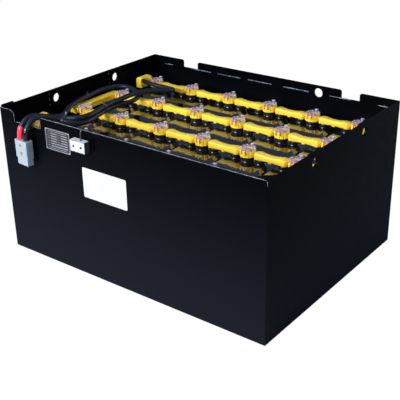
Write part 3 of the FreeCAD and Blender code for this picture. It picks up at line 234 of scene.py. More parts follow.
def cable_finish():
    """Slate grey rubber jacket with a fine tooth, darker in patches where it is handled."""
    made = Finish("cable_rubber", (0.005, 0.008, 0.018), 0.45, Specular_IOR_Level=0.25)
    patches = made.spread(made.noise(0.03, 4), 0, 1)
    made.tint(patches, (0.004, 0.0065, 0.015), (0.006, 0.0095, 0.021))
    made.rough(made.noise(0.008, 4), 0.38, 0.5)
    return made.bump(made.noise(0.0012, 3), 0.00012)


PAINT = paint_finish()
YELLOW = plastic_finish("yellow_plastic", (0.90, 0.60, 0.034), (0.94, 0.65, 0.048), 0.30, 0.03,
                        0.00003)
LID = lid_finish()
JAR = plastic_finish("black_plastic", (0.010, 0.010, 0.012), (0.016, 0.016, 0.018), 0.4)
PACKER = plastic_finish("packer_plastic", (0.03, 0.034, 0.046), (0.05, 0.056, 0.072), 0.5)
PORT = plastic_finish("port_plastic", (0.74, 0.66, 0.42), (0.80, 0.72, 0.50), 0.3)
CLEAR = clear_finish()
FLOAT_RED = plastic_finish("red_plastic", (0.95, 0.03, 0.03), (1.0, 0.06, 0.05), 0.3)
CABLE = cable_finish()
RED_SLEEVE = plastic_finish("red_sleeve", (0.93, 0.035, 0.075), (1.0, 0.05, 0.10), 0.26, 0.01,
                            0.00012)
BLACK_SLEEVE = plastic_finish("black_sleeve", (0.004, 0.004, 0.005), (0.006, 0.006, 0.008), 0.12,
                              0.01, 0.0001)
GREY = plastic_finish("connector_grey", (0.29, 0.35, 0.41), (0.32, 0.38, 0.44), 0.42, 0.02, 0.00004)
TIE = plastic_finish("tie_plastic", (0.012, 0.012, 0.013), (0.02, 0.02, 0.021), 0.35)
COPPER = metal_finish("plated_copper", (0.62, 0.60, 0.56), (0.72, 0.70, 0.66), 0.3)
LEAD = metal_finish("lead", (0.22, 0.22, 0.24), (0.32, 0.32, 0.34), 0.5)
ZINC = metal_finish("zinc_steel", (0.58, 0.58, 0.58), (0.7, 0.69, 0.66), 0.26)
SILVER = metal_finish("silver_plate", (0.78, 0.77, 0.74), (0.86, 0.85, 0.82), 0.2)
BRASS = metal_finish("brass_bush", (0.52, 0.40, 0.16), (0.66, 0.52, 0.24), 0.32)
PLATE = metal_finish("plate_metal", (0.56, 0.57, 0.58), (0.68, 0.69, 0.70), 0.32, (1, 1, 6))
# Painted highlight: the milky white of the studs round each cap's rim stands in for the bright glints
# on the clear cap; the cap's tab shares it.
MILKY_HIGHLIGHT = plastic_finish("milky_highlight", (0.50, 0.46, 0.60), (0.72, 0.68, 0.82), 0.22, 0.004)
AMBER = plastic_finish("amber_plastic", (0.34, 0.20, 0.03), (0.48, 0.30, 0.06), 0.25, 0.004)
# Painted shade: the dark lilac ring on each cap's top stands in for the dark lilac shading seen in the
# clear cap.
LILAC_SHADE = plastic_finish("lilac_painted_shade", (0.16, 0.12, 0.26), (0.34, 0.28, 0.46), 0.2, 0.005)
BROWN = plastic_finish("brown_plastic", (0.05, 0.028, 0.008), (0.09, 0.05, 0.015), 0.3, 0.004)
# Painted highlight: pale grey beads along the front wall's top edge and right corner stand in for
# light caught by the rounded steel edge.
EDGE_HIGHLIGHT = plastic_finish("painted_edge_highlight", (0.10, 0.105, 0.12), (0.30, 0.31, 0.34), 0.3, 0.012)
# Painted highlight: the welds are real, but their blue-grey, far lighter than the black paint on them,
# stands in for the glints along the beads.
WELD_HIGHLIGHT = plastic_finish("weld_bead_highlight", (0.05, 0.07, 0.11), (0.16, 0.20, 0.28), 0.2, 0.006, 0.0002)
PALE_GREY = plastic_finish("pale_grey", (0.55, 0.58, 0.64), (0.62, 0.65, 0.70), 0.35)
CASE = plastic_finish("indicator_plastic", (0.035, 0.04, 0.05), (0.05, 0.055, 0.065), 0.4)
FACE = plastic_finish("face_white", (0.52, 0.54, 0.57), (0.56, 0.58, 0.61), 0.4)
SHEET = plastic_finish("sheet_white", (0.54, 0.55, 0.56), (0.57, 0.58, 0.59), 0.5, 0.04)
WIRE = plastic_finish("wire_rubber", (0.016, 0.017, 0.02), (0.024, 0.026, 0.03), 0.45)
BLACK_PRINT = plastic_finish("plate_black", (0.012, 0.013, 0.016), (0.02, 0.021, 0.024), 0.38)
GREEN_LAMP = plastic_finish("lamp_green", (0.006, 0.06, 0.045), (0.01, 0.09, 0.06), 0.2)
RED_LAMP = plastic_finish("lamp_red", (0.07, 0.012, 0.02), (0.10, 0.02, 0.03), 0.2)

NODE_FINISH = {
    "cell_jars": JAR, "cell_lids": LID, "plate_groups": LEAD, "terminal_posts": LEAD,
    "row_packers": PACKER, "intercell_straps": COPPER, "row_end_straps": COPPER,
    "strap_bolts": ZINC, "strap_covers": YELLOW, "end_strap_covers": YELLOW,
    "cable_lugs": COPPER, "lug_covers": YELLOW, "vent_plugs": YELLOW, "vent_floats": FLOAT_RED,
    "positive_cable": CABLE, "negative_cable": CABLE, "positive_sleeve": RED_SLEEVE,
    "negative_sleeve": BLACK_SLEEVE, "cable_ties": TIE, "connector_housing": GREY,
    "connector_contacts": SILVER, "connector_bushes": BRASS, "name_plate": PLATE,
    "indicator_case": CASE, "indicator_lamps": RED_LAMP, "indicator_wire": WIRE,
    "level_sensor": JAR,
}


# Rounds along the nodes' sharp edges, in millimetres.
EDGE_ROUNDS = {
    "strap_covers": 1.6, "end_strap_covers": 1.6, "connector_housing": 0.8,
    "tray_front_wall": 0.8, "tray_left_wall": 0.8, "tray_right_wall": 0.8,
    "tray_rear_wall": 0.8, "rear_strips": 0.8, "name_plate": 0.2, "vent_plugs": 0.5,
    "lug_covers": 0.8, "cell_lids": 0.8, "indicator_case": 0.6,
}
SHARP_EDGE = math.radians(50)


def finish_nodes():
    """Every carried-over piece gets its finish, and those listed in EDGE_ROUNDS small rounds along
    their edges.
    """
    for name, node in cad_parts.items():
        made = CLEAR if name.startswith("vent_cap") else NODE_FINISH.get(name, PAINT)
        node.data.materials.clear()
        node.data.materials.append(made.material)
        if name in EDGE_ROUNDS:
            bevel = node.modifiers.new("edges", "BEVEL")
            bevel.width = EDGE_ROUNDS[name] * MM
            bevel.segments = 2
            bevel.limit_method = "ANGLE"
            bevel.angle_limit = SHARP_EDGE
            bevel.harden_normals = False


finish_nodes()


# Cords. Their points are those of the solids, in millimetres.

POSITIVE_ROUTE = [
    (-432.9, 233.1, 421), (-407.87, 222.99, 421), (-371, 220, 419), (-332, 227, 416.5),
    (-294, 221, 418.5), (-263, 197, 426), (-258, 159, 433), (-284, 129, 439), (-311, 90, 441),
    (-319, 47, 441), (-317, 5, 440.5), (-318.5, -35, 440), (-314, -76, 440), (-305, -122, 440),
    (-293.5, -166, 440), (-287.5, -203, 441.5), (-298, -231, 441.5), (-321, -241, 439),
    (-347, -249, 439), (-359.5, -267, 443.5), (-367.5, -288, 449.5), (-372, -313, 458),
    (-373, -337, 465), (-373, -360, 467), (-377, -380.6, 453.6), (-381.7, -392.8, 430.4),
    (-381.7, -392.8, 407),
]
NEGATIVE_ROUTE = [
    (-432.9, -233.1, 421), (-413.43, -225.23, 421), (-401.5, -210.5, 420.5),
    (-403.5, -189, 420.3), (-416, -166, 420.6), (-434, -140, 421.5), (-446, -112, 423.5),
    (-453.5, -80, 425), (-460.5, -43, 426.5), (-465.5, -3, 427.3), (-471, 36, 427.5),
    (-472.5, 72, 427.5), (-464, 107, 427), (-441, 131, 426), (-407, 135.5, 425),
    (-367, 118, 424.4), (-335, 92, 423.8), (-311, 61, 423.6), (-305.5, 22, 423.6),
    (-317.5, -24, 423.6), (-320, -66, 423.6), (-309, -110, 423.6), (-299, -153, 423.6),
    (-286, -196, 424), (-286.5, -226, 425.5), (-299, -246.5, 429.5), (-318, -258.5, 435),
    (-341, -266.5, 438), (-350.5, -290, 449), (-354.5, -318, 460), (-353, -343, 466),
    (-351.5, -363, 465), (-352, -381, 453.6), (-353.3, -395.2, 430.4), (-353.3, -395.2, 407),
]
INDICATOR_ROUTE = [
    (-132, -382, 451), (-132, -382, 464), (-131.5, -380, 478), (-130.5, -371, 489),
    (-129, -357, 489), (-128, -346, 475), (-128, -341, 455), (-128, -340, 433),
    (-128, -340, 412),
]
CABLE_RADIUS = 8.0 * MM
SLEEVE_RADIUS = 9.4 * MM
SLEEVE_LENGTH = 38 * MM
SLEEVE_RINGS = 44
SLEEVE_WRINKLE = 0.16 * MM
SLEEVE_SHORT = 0.4 * MM
SLEEVE_ROOM = 0.25 * MM
SLEEVE_LIP = 0.1 * MM
SLEEVE_ROLL = 0.6 * MM
WIRE_RADIUS = 2.25 * MM
SHARED_TIE_SPOTS = ((-309.5, -99, 440), (-334, -245.5, 441))
LONE_TIE_SPOT = (-463, -23, 426.9)
TIE_HALF = 2.3 * MM
TIE_THICK = 1.2 * MM
TIE_GAP = 0.15 * MM
LOCK_SIZE = (5.6 * MM, 5.2 * MM, 3.6 * MM)
LOCK_RISE = 1.2 * MM
TAIL_LENGTH = 8 * MM
TAIL_THICK = 1.1 * MM
TAIL_PLACE = 5 * MM


def add_object(name, data, made=None, body="battery"):
    """A piece in the scene, with its finish, that rides on a body."""
    piece = bpy.data.objects.new(name, data)
    bpy.context.scene.collection.objects.link(piece)
    if made:
        data.materials.append(made.material)
    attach(piece, body)
    return piece


def spline(name, points, radius, made):
    """A round cord on one smooth line with the route's points as its control points."""
    data = bpy.data.curves.new(name, "CURVE")
    data.dimensions = "3D"
    data.resolution_u = 12
    line = data.splines.new("NURBS")
    line.points.add(len(points) - 1)
    for point, place in zip(line.points, points):
        point.co = (*(value * MM for value in place), 1)
    line.order_u = 3
    line.use_endpoint_u = True
    bare = bpy.data.objects.new(name + "_line", data)
    mesh = bpy.data.meshes.new_from_object(bare)
    path = [vertex.co.copy() for vertex in mesh.vertices]
    bpy.data.objects.remove(bare)
    bpy.data.meshes.remove(mesh)
    data.bevel_depth = radius
    data.bevel_resolution = 7
    data.use_fill_caps = True
    return add_object(name, data, made), path


def length_of(path):
    return sum((b - a).length for a, b in zip(path, path[1:]))


def new_mesh(name, vertices, faces, made, smooth=True, body="battery"):
    mesh = bpy.data.meshes.new(name)
    mesh.from_pydata([tuple(v) for v in vertices], [], faces)
    mesh.validate()
    work = bmesh.new()
    work.from_mesh(mesh)
    bmesh.ops.recalc_face_normals(work, faces=work.faces)
    work.to_mesh(mesh)
    work.free()
    for polygon in mesh.polygons:
        polygon.use_smooth = smooth
    return add_object(name, mesh, made, body)


def tube_mesh(name, path, profile, made, sides=40, wobble=None):
    """A tube round a path, whose radius at each part of its length comes from a profile."""
    vertices, faces = [], []
    direction = (path[1] - path[0]).normalized()
    side = direction.orthogonal().normalized()
    for k, spot in enumerate(path):
        ahead = path[min(k + 1, len(path) - 1)] - path[max(k - 1, 0)]
        turn = direction.rotation_difference(ahead.normalized())
        side = (turn @ side).normalized()
        direction = ahead.normalized()
        other = direction.cross(side)
        for i in range(sides):
            angle = 2 * math.pi * i / sides
            radius = profile[k] + (wobble(k, angle) if wobble else 0)
            vertices.append(spot + (side * math.cos(angle) + other * math.sin(angle)) * radius)
    for k in range(len(path) - 1):
        for i in range(sides):
            a, b = k * sides + i, k * sides + (i + 1) % sides
            faces.append((a, b, b + sides, a + sides))
    return new_mesh(name, vertices, faces, made)


def stretch_of(path, start, end, count):
    """Evenly spaced points along a path between two distances from its first point."""
    marks = [0.0]
    for a, b in zip(path, path[1:]):
        marks.append(marks[-1] + (b - a).length)
    found = []
    for i in range(count):
        want = start + (end - start) * i / (count - 1)
        k = max(1, next((j for j, mark in enumerate(marks) if mark >= want), len(marks) - 1))
        share = (want - marks[k - 1]) / (marks[k] - marks[k - 1])
        found.append(path[k - 1].lerp(path[k], share))
    return found


def sleeve(name, path, made):
    """The shrunk sleeve over the last stretch of a cable, with its ends rolled in."""
    whole = length_of(path)
    count = SLEEVE_RINGS
    points = stretch_of(path, whole - SLEEVE_LENGTH, whole - SLEEVE_SHORT, count)
    profile = [SLEEVE_RADIUS - SLEEVE_ROOM] * count
    profile[0] = profile[-1] = CABLE_RADIUS + SLEEVE_LIP
    profile[1] = profile[-2] = SLEEVE_RADIUS - SLEEVE_ROLL

    def wrinkle(k, angle):
        edge = min(k, count - 1 - k)
        if edge < 2:
            return 0
        wave = math.sin(k * 0.9 + 2 * math.sin(angle + k * 0.1)) * 0.5
        return SLEEVE_WRINKLE * wave * (0.6 + 0.4 * math.sin(3 * angle + k * 0.35))

    piece = tube_mesh(name + "_skin", points, profile, made, 48, wrinkle)
    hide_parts(name)
    return piece


def cables():
    """The two leads, their sleeves and ties, and the indicator's lead."""
    positive, positive_path = spline("positive_lead", POSITIVE_ROUTE, CABLE_RADIUS, CABLE)
    negative, negative_path = spline("negative_lead", NEGATIVE_ROUTE, CABLE_RADIUS, CABLE)
    for piece, node in ((positive, "positive_cable"), (negative, "negative_cable")):
        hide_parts(node)
    red = sleeve("positive_sleeve", positive_path, RED_SLEEVE)
    black = sleeve("negative_sleeve", negative_path, BLACK_SLEEVE)
    shared_ties = cable_ties("shared_ties", [(positive_path, negative_path, spot)
                                             for spot in SHARED_TIE_SPOTS])
    lone_tie = cable_ties("lone_tie", [(negative_path, None, LONE_TIE_SPOT)])
    wire, wire_path = spline("indicator_lead", INDICATOR_ROUTE, WIRE_RADIUS, WIRE)
    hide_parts("indicator_wire")


def nearest(path, spot):
    """The path's point nearest a spot, and the path's direction there."""
    k = min(range(1, len(path) - 1), key=lambda i: (path[i] - spot).length)
    return path[k], (path[k + 1] - path[k - 1]).normalized()


def band_outline(spots, direction, radius, sides=48):
    """The tight outline round one or two circles that face along a direction."""
    across = direction.orthogonal().normalized()
    if len(spots) == 2:
        across = (spots[1] - spots[0]).normalized()
    side = direction.cross(across).normalized()
    points = []
    for i in range(sides):
        angle = 2 * math.pi * i / sides
        ray = across * math.cos(angle) + side * math.sin(angle)
        centre = max(spots, key=lambda spot: spot.dot(ray))
        points.append((centre + ray * radius, ray))
    return points


def cable_ties(name, places):
    """Narrow ties round one lead or both, with their locks and cut tails."""
    vertices, faces = [], []
    section = ((0, -TIE_HALF), (0, TIE_HALF), (TIE_THICK, TIE_HALF * 0.8),
               (TIE_THICK, -TIE_HALF * 0.8))
    for path, other, place in places:
        spot, direction = nearest(path, Vector(place) * MM)
        spots = [spot]
        if other:
            lower, beside = nearest(other, spot)
            spots.append(lower - beside * ((lower - spot).dot(direction) / beside.dot(direction)))
        outline = band_outline(spots, direction, CABLE_RADIUS + TIE_GAP)
        first = len(vertices)
        count = len(outline)
        for point, ray in outline:
            for grow, shift in section:
                vertices.append(point + ray * grow + direction * shift)
        for i in range(count):
            a, b = first + 4 * i, first + 4 * ((i + 1) % count)
            for j in range(4):
                faces.append((a + j, a + (j + 1) % 4, b + (j + 1) % 4, b + j))
        add_lock(vertices, faces, spot, direction)
    piece = new_mesh(name, vertices, faces, TIE, smooth=False)
    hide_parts("cable_ties")
    return piece


BLOCK_FACES = ((0, 3, 2, 1), (4, 5, 6, 7), (0, 1, 5, 4), (1, 2, 6, 5), (2, 3, 7, 6), (3, 0, 4, 7))
UPRIGHT = (Vector((1, 0, 0)), Vector((0, 1, 0)), Vector((0, 0, 1)))
UPSIDE_DOWN = (Vector((1, 0, 0)), Vector((0, 1, 0)), Vector((0, 0, -1)))
FACING = (Vector((1, 0, 0)), Vector((0, 0, 1)), Vector((0, -1, 0)))


def add_block(vertices, faces, centre, axes, sizes, taper=1.0):
    """A block about a centre, with its last axis's far face made smaller."""
    first = len(vertices)
    for top in (-1, 1):
        share = taper if top > 0 else 1
        for a, b in ((-1, -1), (1, -1), (1, 1), (-1, 1)):
            vertices.append(centre + axes[0] * (a * sizes[0] * share / 2)
                            + axes[1] * (b * sizes[1] * share / 2) + axes[2] * (top * sizes[2] / 2))
    for corners in BLOCK_FACES:
        faces.append(tuple(first + i for i in corners))


def add_lock(vertices, faces, spot, direction):
    """A tie's square lock on top of its cable, with the cut tail standing from it."""
    up = (Vector((0, 0, 1)) - direction * direction.z).normalized()
    side = direction.cross(up)
    base = spot + up * (CABLE_RADIUS + TIE_THICK + LOCK_RISE)
    add_block(vertices, faces, base, (direction, side, up), LOCK_SIZE, 0.82)
    lean = (up + side * 0.5).normalized()
    add_block(vertices, faces, base + lean * TAIL_PLACE, (direction, side.cross(direction), lean),
              (1.7 * TIE_HALF, TAIL_THICK, TAIL_LENGTH), 0.9)


cables()


# Strap covers: round lobes over the bolts, a narrower waist between, and soft top edges.
# Sizes are in millimetres.

TERMINAL_SPAN = 84.6
COVER_LOW = 395.4
COVER_TOP = 413.5
COVER_LOBE = 18.0
COVER_WAIST = 12.2
COVER_WALL = 2.0
LOBE_HALF = (PITCH_X / MM - TERMINAL_SPAN) / 2
LOBE_REACH = 0.75
WAIST_FILLET = 1.6
WAIST_STEPS = 12
WAIST_EASE = 0.26
WAIST_START = 0.30
WAIST_RUN = 0.35
WAIST_DIP = 1.9
WAIST_LIFT = 1.2
LOBE_PAD_RADIUS = 13.4
LOBE_PAD_HEIGHT = 0.5
PORT_INSET = 9
PORT_RADIUS = 2.2
PORT_HEIGHT = 0.4
FOOT_WIDTH = 12
FOOT_HEIGHT = 6.5


def waisted_outline(grow=0.0, count=24):
    """The plan of a strap cover: two lobes, each of count points, and the waist between."""
    lobe = COVER_LOBE + grow
    waist = COVER_WAIST + grow
    reach = math.acos(min(1.0, (waist + WAIST_FILLET) / lobe)) * LOBE_REACH
    points = []
    for side in (1, -1):
        start, end = -math.pi / 2 + reach, math.pi / 2 - reach
        for i in range(count):
            angle = start + (end - start) * i / (count - 1)
            points.append((side * (LOBE_HALF + lobe * math.cos(angle)), side * lobe * math.sin(angle)))
        inner = side * (LOBE_HALF + lobe * math.cos(end))
        top = lobe * math.sin(end) * side
        for i in range(1, WAIST_STEPS):
            share = i / WAIST_STEPS
            near = min(1.0, min(share, 1 - share) / WAIST_EASE)
            ease = 1 - (1 - near) ** 3
            points.append((inner * (1 - 2 * share), top + (side * waist - top) * ease))
    return points


def lofted(vertices, faces, rings, close_last=True):
    """Faces through rings of the same count, and over the last ring."""
    base = len(vertices)
    count = len(rings[0])
    for ring in rings:
        vertices.extend(ring)
    for k in range(len(rings) - 1):
        for i in range(count):
            a, b = base + k * count + i, base + k * count + (i + 1) % count
            faces.append((a, b, b + count, a + count))
    if close_last:
        last = base + (len(rings) - 1) * count
        middle = len(vertices)
        vertices.append(sum((Vector(v) for v in rings[-1]), Vector()) / count)
        for i in range(count):
            faces.append((last + i, last + (i + 1) % count, middle))


def cover_rings(spot, profile):
    """Rings of a cover: each of the profile's pairs is an inset and a height.

    Over the waist, the rings above the cover's middle dip and those below it lift.
    """
    middle = (COVER_LOW + COVER_TOP) / 2
    rings = []
    for inset, height in profile:
        ring = []
        for x, y in waisted_outline(-inset):
            share = (abs(x) - LOBE_HALF * WAIST_START) / (LOBE_HALF * WAIST_RUN)
            share = min(1.0, max(0.0, share))
            narrow = 1 - share * share * (3 - 2 * share)
            shift = -WAIST_DIP * narrow if height > middle else WAIST_LIFT * narrow
            ring.append(Vector((spot.x + x * MM, spot.y + y * MM, (height + shift) * MM)))
        rings.append(ring)
    return rings


def strap_covers():
    """The twenty covers between the columns, each a thin shell open at its foot."""
    vertices, faces = [], []
    ports, port_faces = [], []
    low, top = COVER_LOW, COVER_TOP
    outer = [(COVER_WALL, low), (0.6, low), (0, low + 0.7), (0, top - 5.0), (0.5, top - 2.8),
             (1.5, top - 1.2), (3.0, top - 0.3), (4.8, top), (7.0, top - 0.2)]
    for row, column, place in cells():
        if column == COLUMNS - 1:
            continue
        spot = place + Vector((PITCH_X / 2, 0, 0))
        lofted(vertices, faces, cover_rings(spot, outer))
        for side in (-1, 1):
            pad = spot + Vector((side * LOBE_HALF, 0, top - 0.1)) * MM
            add_dome(vertices, faces, pad, LOBE_PAD_RADIUS * MM, LOBE_PAD_HEIGHT * MM, 28, 0.965)
            port = spot + Vector((side * (LOBE_HALF - PORT_INSET), -1, top + 0.35)) * MM
            add_dome(ports, port_faces, port, PORT_RADIUS * MM, PORT_HEIGHT * MM)
        foot = spot + Vector((0, COVER_WALL / 2 - COVER_WAIST, low + 0.5)) * MM
        add_block(vertices, faces, foot, UPSIDE_DOWN,
                  (FOOT_WIDTH * MM, COVER_WALL * MM, FOOT_HEIGHT * MM), 0.8)
    piece = new_mesh("strap_cover_skins", vertices, faces, YELLOW)
    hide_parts("strap_covers")
    new_mesh("cover_ports", ports, port_faces, PORT, smooth=False)


def add_dome(vertices, faces, centre, radius, height, sides=12, flat=0.5):
    """A low dome that stands on a flat face, with its top as wide as the flat share."""
    rings = []
    middle = (1 + flat) / 2
    for share, rise in ((1.0, -0.3), (1.0, 0.25), (middle, 0.75), (flat, 1.0)):
        rings.append([centre + Vector((math.cos(2 * math.pi * i / sides) * radius * share,
                                       math.sin(2 * math.pi * i / sides) * radius * share,
                                       height * rise)) for i in range(sides)])
    lofted(vertices, faces, rings)


strap_covers()


# Vents: what shows through and on each clear cap, in millimetres.

DISH_FLOOR = 405.0
CAP_TOP = 421.8
CAP_STUDS = 10
STUD_REACH = 19.6
STUD_RADIUS = 2.3
STUD_HEIGHT = 0.7
CAP_RING = (14.2, 16.0, 0.05, 0.4)
TAB_SPOT = Vector((-2, 26.6, CAP_TOP + 2.75))
TAB_SIZE = Vector((9.6, 8.2, 0.6))
WELL_SPOT = Vector((5, -2, DISH_FLOOR))
WELL_TUBE = (5.05, 7.0, 0.05, 11.6)
WELL_FLOOR = (0.4, 5.0, 5.0, 6.0)
WELL_RIM = (7.0, 8.6, 0.05, 12.2)
DECK_RING = (17.4, 20.3, 0.05, 9.0)
FLOAT_SPOT = Vector((-10, 3.5, 411.05))
FLOAT_RADIUS = 4.6
FLOAT_HEIGHT = 7.6


def add_ring(vertices, faces, centre, sizes, sides=32):
    """A flat ring about a centre: its inner and outer radius, foot and top in millimetres."""
    inner, outer, low, high = (size * MM for size in sizes)
    rings = []
    for radius, height in ((inner, low), (outer, low), (outer, high), (inner, high), (inner, low)):
        rings.append([centre + Vector((math.cos(2 * math.pi * i / sides) * radius,
                                       math.sin(2 * math.pi * i / sides) * radius, height))
                      for i in range(sides)])
    lofted(vertices, faces, rings, close_last=False)


def vents():
    """Studs, a ring and a tab on every cap, and what stands in every plug's dish."""
    rims, rim_faces = [], []
    wells, well_faces = [], []
    decks, deck_faces = [], []
    heads, head_faces = [], []
    for row, column, place in cells():
        name = f"vent_cap_r{row + 1}_c{column + 1}"
        studs, stud_faces = [], []
        shades, shade_faces = [], []
        # The studs' milky white is a painted highlight round the clear cap's rim.
        for i in range(CAP_STUDS):
            angle = 2 * math.pi * (i + 0.5) / CAP_STUDS
            reach = Vector((math.cos(angle) * STUD_REACH, math.sin(angle) * STUD_REACH, CAP_TOP))
            add_dome(studs, stud_faces, place + reach * MM, STUD_RADIUS * MM, STUD_HEIGHT * MM)
        crown = place + Vector((0, 0, CAP_TOP * MM))
        # The ring's dark lilac is a painted shade on the cap's top.
        add_ring(shades, shade_faces, crown, CAP_RING)
        add_block(studs, stud_faces, place + TAB_SPOT * MM, UPRIGHT, TAB_SIZE * MM, 0.9)
        new_mesh(name + "_studs", studs, stud_faces, MILKY_HIGHLIGHT, smooth=False, body=name)
        new_mesh(name + "_ring", shades, shade_faces, LILAC_SHADE, smooth=False, body=name)
        well = place + WELL_SPOT * MM
        add_ring(wells, well_faces, well, WELL_TUBE, 24)
        add_ring(wells, well_faces, well, WELL_FLOOR, 24)
        add_ring(rims, rim_faces, well, WELL_RIM, 24)
        deck = place + Vector((0, 0, DISH_FLOOR * MM))
        add_ring(decks, deck_faces, deck, DECK_RING, 36)
        add_dome(heads, head_faces, place + FLOAT_SPOT * MM, FLOAT_RADIUS * MM, FLOAT_HEIGHT * MM, 20)
    new_mesh("filler_rims", rims, rim_faces, AMBER, smooth=False)
    new_mesh("filler_wells", wells, well_faces, BROWN, smooth=False)
    new_mesh("deck_rings", decks, deck_faces, YELLOW, smooth=False)
    new_mesh("float_heads", heads, head_faces, FLOAT_RED)


vents()


# Front wall: plate, sheet, indicator, and painted highlights along the steel's edges, in millimetres.

PLATE_RIM = 2.6
PLATE_MARGIN = 7
PLATE_HEAD = 10
PRINT_ROWS = 6
WIDE_ROWS = 2
PRINT_PROUD = (-0.2, -0.12)
MARK_LENGTH = 12
BOX_START = 15
RIVET_INSET = 4
RIVET_PROFILE = ((1.7, 0), (1.7, 0.3), (1.2, 0.8), (0.5, 1.05))
CASE_INSET = 0.8
CASE_CORNER = 1.6
ROOF_INSET = 1
ROOF_THICK = 0.3
LAMP_INSET = 3
GREEN_LAMP_PROFILE = ((3.25, 2.6), (3.25, 0.2), (2.6, -0.35), (1.3, -0.6))
SHEET_LEFT, SHEET_RIGHT = -150, 21
SHEET_LOW, SHEET_HIGH = 267, 362
SHEET_CORNER = 4
STUCK_PROUD = 0.25
STUCK_THICK = 0.2
WALL_TOP = 480.0
WALL_THICK = 4.5
NOTCH_START, NOTCH_END = 63.0, 179.0
NOTCH_FLOOR = 445.0
NOTCH_BEND = 19.0
EDGE_SINK = 0.25
EDGE_RADIUS, EDGE_GRAIN = 0.75, 14.0
SEAM_RADIUS, SEAM_GRAIN = 1.7, 5.0
STITCH_RADIUS, STITCH_GRAIN = 1.2, 2.5
SEAM_HEIGHT = 453.5
SEAM_RUNS = ((-440, -400), (-310, -225), (-200, -100), (-70, 30), (75, 175), (250, 330), (420, 470))
LIFTING_HOLES = (-141.0, 141.0)
DOUBLER_HALF = 29.3
STITCH_HEIGHTS = (430.0, 447.0, 466.0)
STITCH_LENGTH = 5
CONNECTOR_TOP = Vector((-367.5, -394, 407))
CONNECTOR_TURN = -5.0
CONNECTOR_HALF = 13.0
BUSH_DEPTHS = (15, 41)
WINDOW_OUTER = 5.2
WINDOW_INNER = 3.3
WINDOW_PROUD = 0.15


def flat_panel(name, x0, x1, z0, z1, y, thick, made, radius=0.0, steps=6):
    """A thin panel on the front, with round corners, that faces the viewer."""
    outline = []
    for cx, cz, start in ((x1 - radius, z1 - radius, 0), (x0 + radius, z1 - radius, 90),
                          (x0 + radius, z0 + radius, 180), (x1 - radius, z0 + radius, 270)):
        for i in range(steps + 1):
            angle = math.radians(start + 90 * i / steps)
            outline.append((cx + radius * math.cos(angle), cz + radius * math.sin(angle)))
    vertices, faces = [], []
    rings = [[Vector((x, y + thick, z)) * MM for x, z in outline],
             [Vector((x, y, z)) * MM for x, z in outline]]
    lofted(vertices, faces, rings)
    return new_mesh(name, vertices, faces, made, smooth=False)


def boxes(name, blocks, made):
    """Many thin blocks as one piece; each is x0, x1, y0, y1, z0, z1 in millimetres."""
    vertices, faces = [], []
    for x0, x1, y0, y1, z0, z1 in blocks:
        centre = Vector(((x0 + x1) / 2, (y0 + y1) / 2, (z0 + z1) / 2)) * MM
        add_block(vertices, faces, centre, FACING, Vector((x1 - x0, z1 - z0, y1 - y0)) * MM)
    return new_mesh(name, vertices, faces, made, smooth=False)


def plate_print():
    """Black print on the bare plate, with a bright frame, empty boxes and four rivets."""
    low, high = (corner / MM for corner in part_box("name_plate"))
    face = low.y
    flat_panel("plate_ground", low.x + PLATE_RIM, high.x - PLATE_RIM, low.z + PLATE_RIM,
               high.z - PLATE_RIM, face - 0.12, 0.1, BLACK_PRINT, 1.5)
    left, right = low.x + PLATE_MARGIN, high.x - PLATE_MARGIN
    front, back = (face + proud for proud in PRINT_PROUD)
    step = (high.z - low.z - 2 * PLATE_HEAD) / PRINT_ROWS
    blocks = []
    for row in range(PRINT_ROWS):
        z = high.z - PLATE_HEAD - (row + 0.5) * step
        whole = row >= PRINT_ROWS - WIDE_ROWS
        for share in ((0.0,) if whole else (0.0, 0.5)):
            x = left + (right - left) * share
            end = x + (right - left) * (1.0 if whole else 0.5) - 2
            blocks.append((x, x + MARK_LENGTH, front, back, z - 0.5, z + 0.5))
            blocks.append((x + BOX_START, end, front, back, z - 1.5, z + 1.5))
    for z in (high.z - PLATE_MARGIN, low.z + PLATE_MARGIN):
        blocks.append((left + 6, right - 6, front, back, z - 0.7, z + 0.7))
    boxes("plate_boxes", blocks, PLATE)
    rivets, rivet_faces = [], []
    for x in (low.x + RIVET_INSET, high.x - RIVET_INSET):
        for z in (low.z + RIVET_INSET, high.z - RIVET_INSET):
            add_button(rivets, rivet_faces, Vector((x, face, z)),
                       [(radius, -rise) for radius, rise in RIVET_PROFILE], 14)
    new_mesh("plate_rivets", rivets, rivet_faces, ZINC)


def add_button(vertices, faces, spot, profile, sides):
    """A round button that faces the viewer; each pair is a radius and a place along y."""
    rings = []
    for radius, along in profile:
        rings.append([(spot + Vector((radius * math.cos(2 * math.pi * i / sides), along,
                                      radius * math.sin(2 * math.pi * i / sides)))) * MM
                      for i in range(sides)])
    lofted(vertices, faces, rings)


def indicator_face():
    """The indicator's white face, its pale roof and its second lamp."""
    low, high = (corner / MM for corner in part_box("indicator_case"))
    flat_panel("indicator_front", low.x + CASE_INSET, high.x - CASE_INSET, low.z + CASE_INSET,
               high.z - CASE_INSET, low.y - STUCK_PROUD, STUCK_THICK, FACE, CASE_CORNER)
    roof = (low.x + ROOF_INSET, high.x - ROOF_INSET, low.y + ROOF_INSET, high.y - ROOF_INSET,
            high.z, high.z + ROOF_THICK)
    boxes("indicator_roof", [roof], PALE_GREY)
    lamps, lamp_faces = [], []
    box_low, box_high = (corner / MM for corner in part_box("indicator_lamps"))
    spot = Vector((box_high.x - LAMP_INSET, box_low.y, (box_low.z + box_high.z) / 2))
    add_button(lamps, lamp_faces, spot, GREEN_LAMP_PROFILE, 24)
    new_mesh("indicator_green", lamps, lamp_faces, GREEN_LAMP)


def sheet():
    """The bare white sheet stuck on the front wall."""
    face = FRONT_Y / MM - STUCK_PROUD
    flat_panel("label_sheet", SHEET_LEFT, SHEET_RIGHT, SHEET_LOW, SHEET_HIGH, face, STUCK_THICK,
               SHEET, SHEET_CORNER)


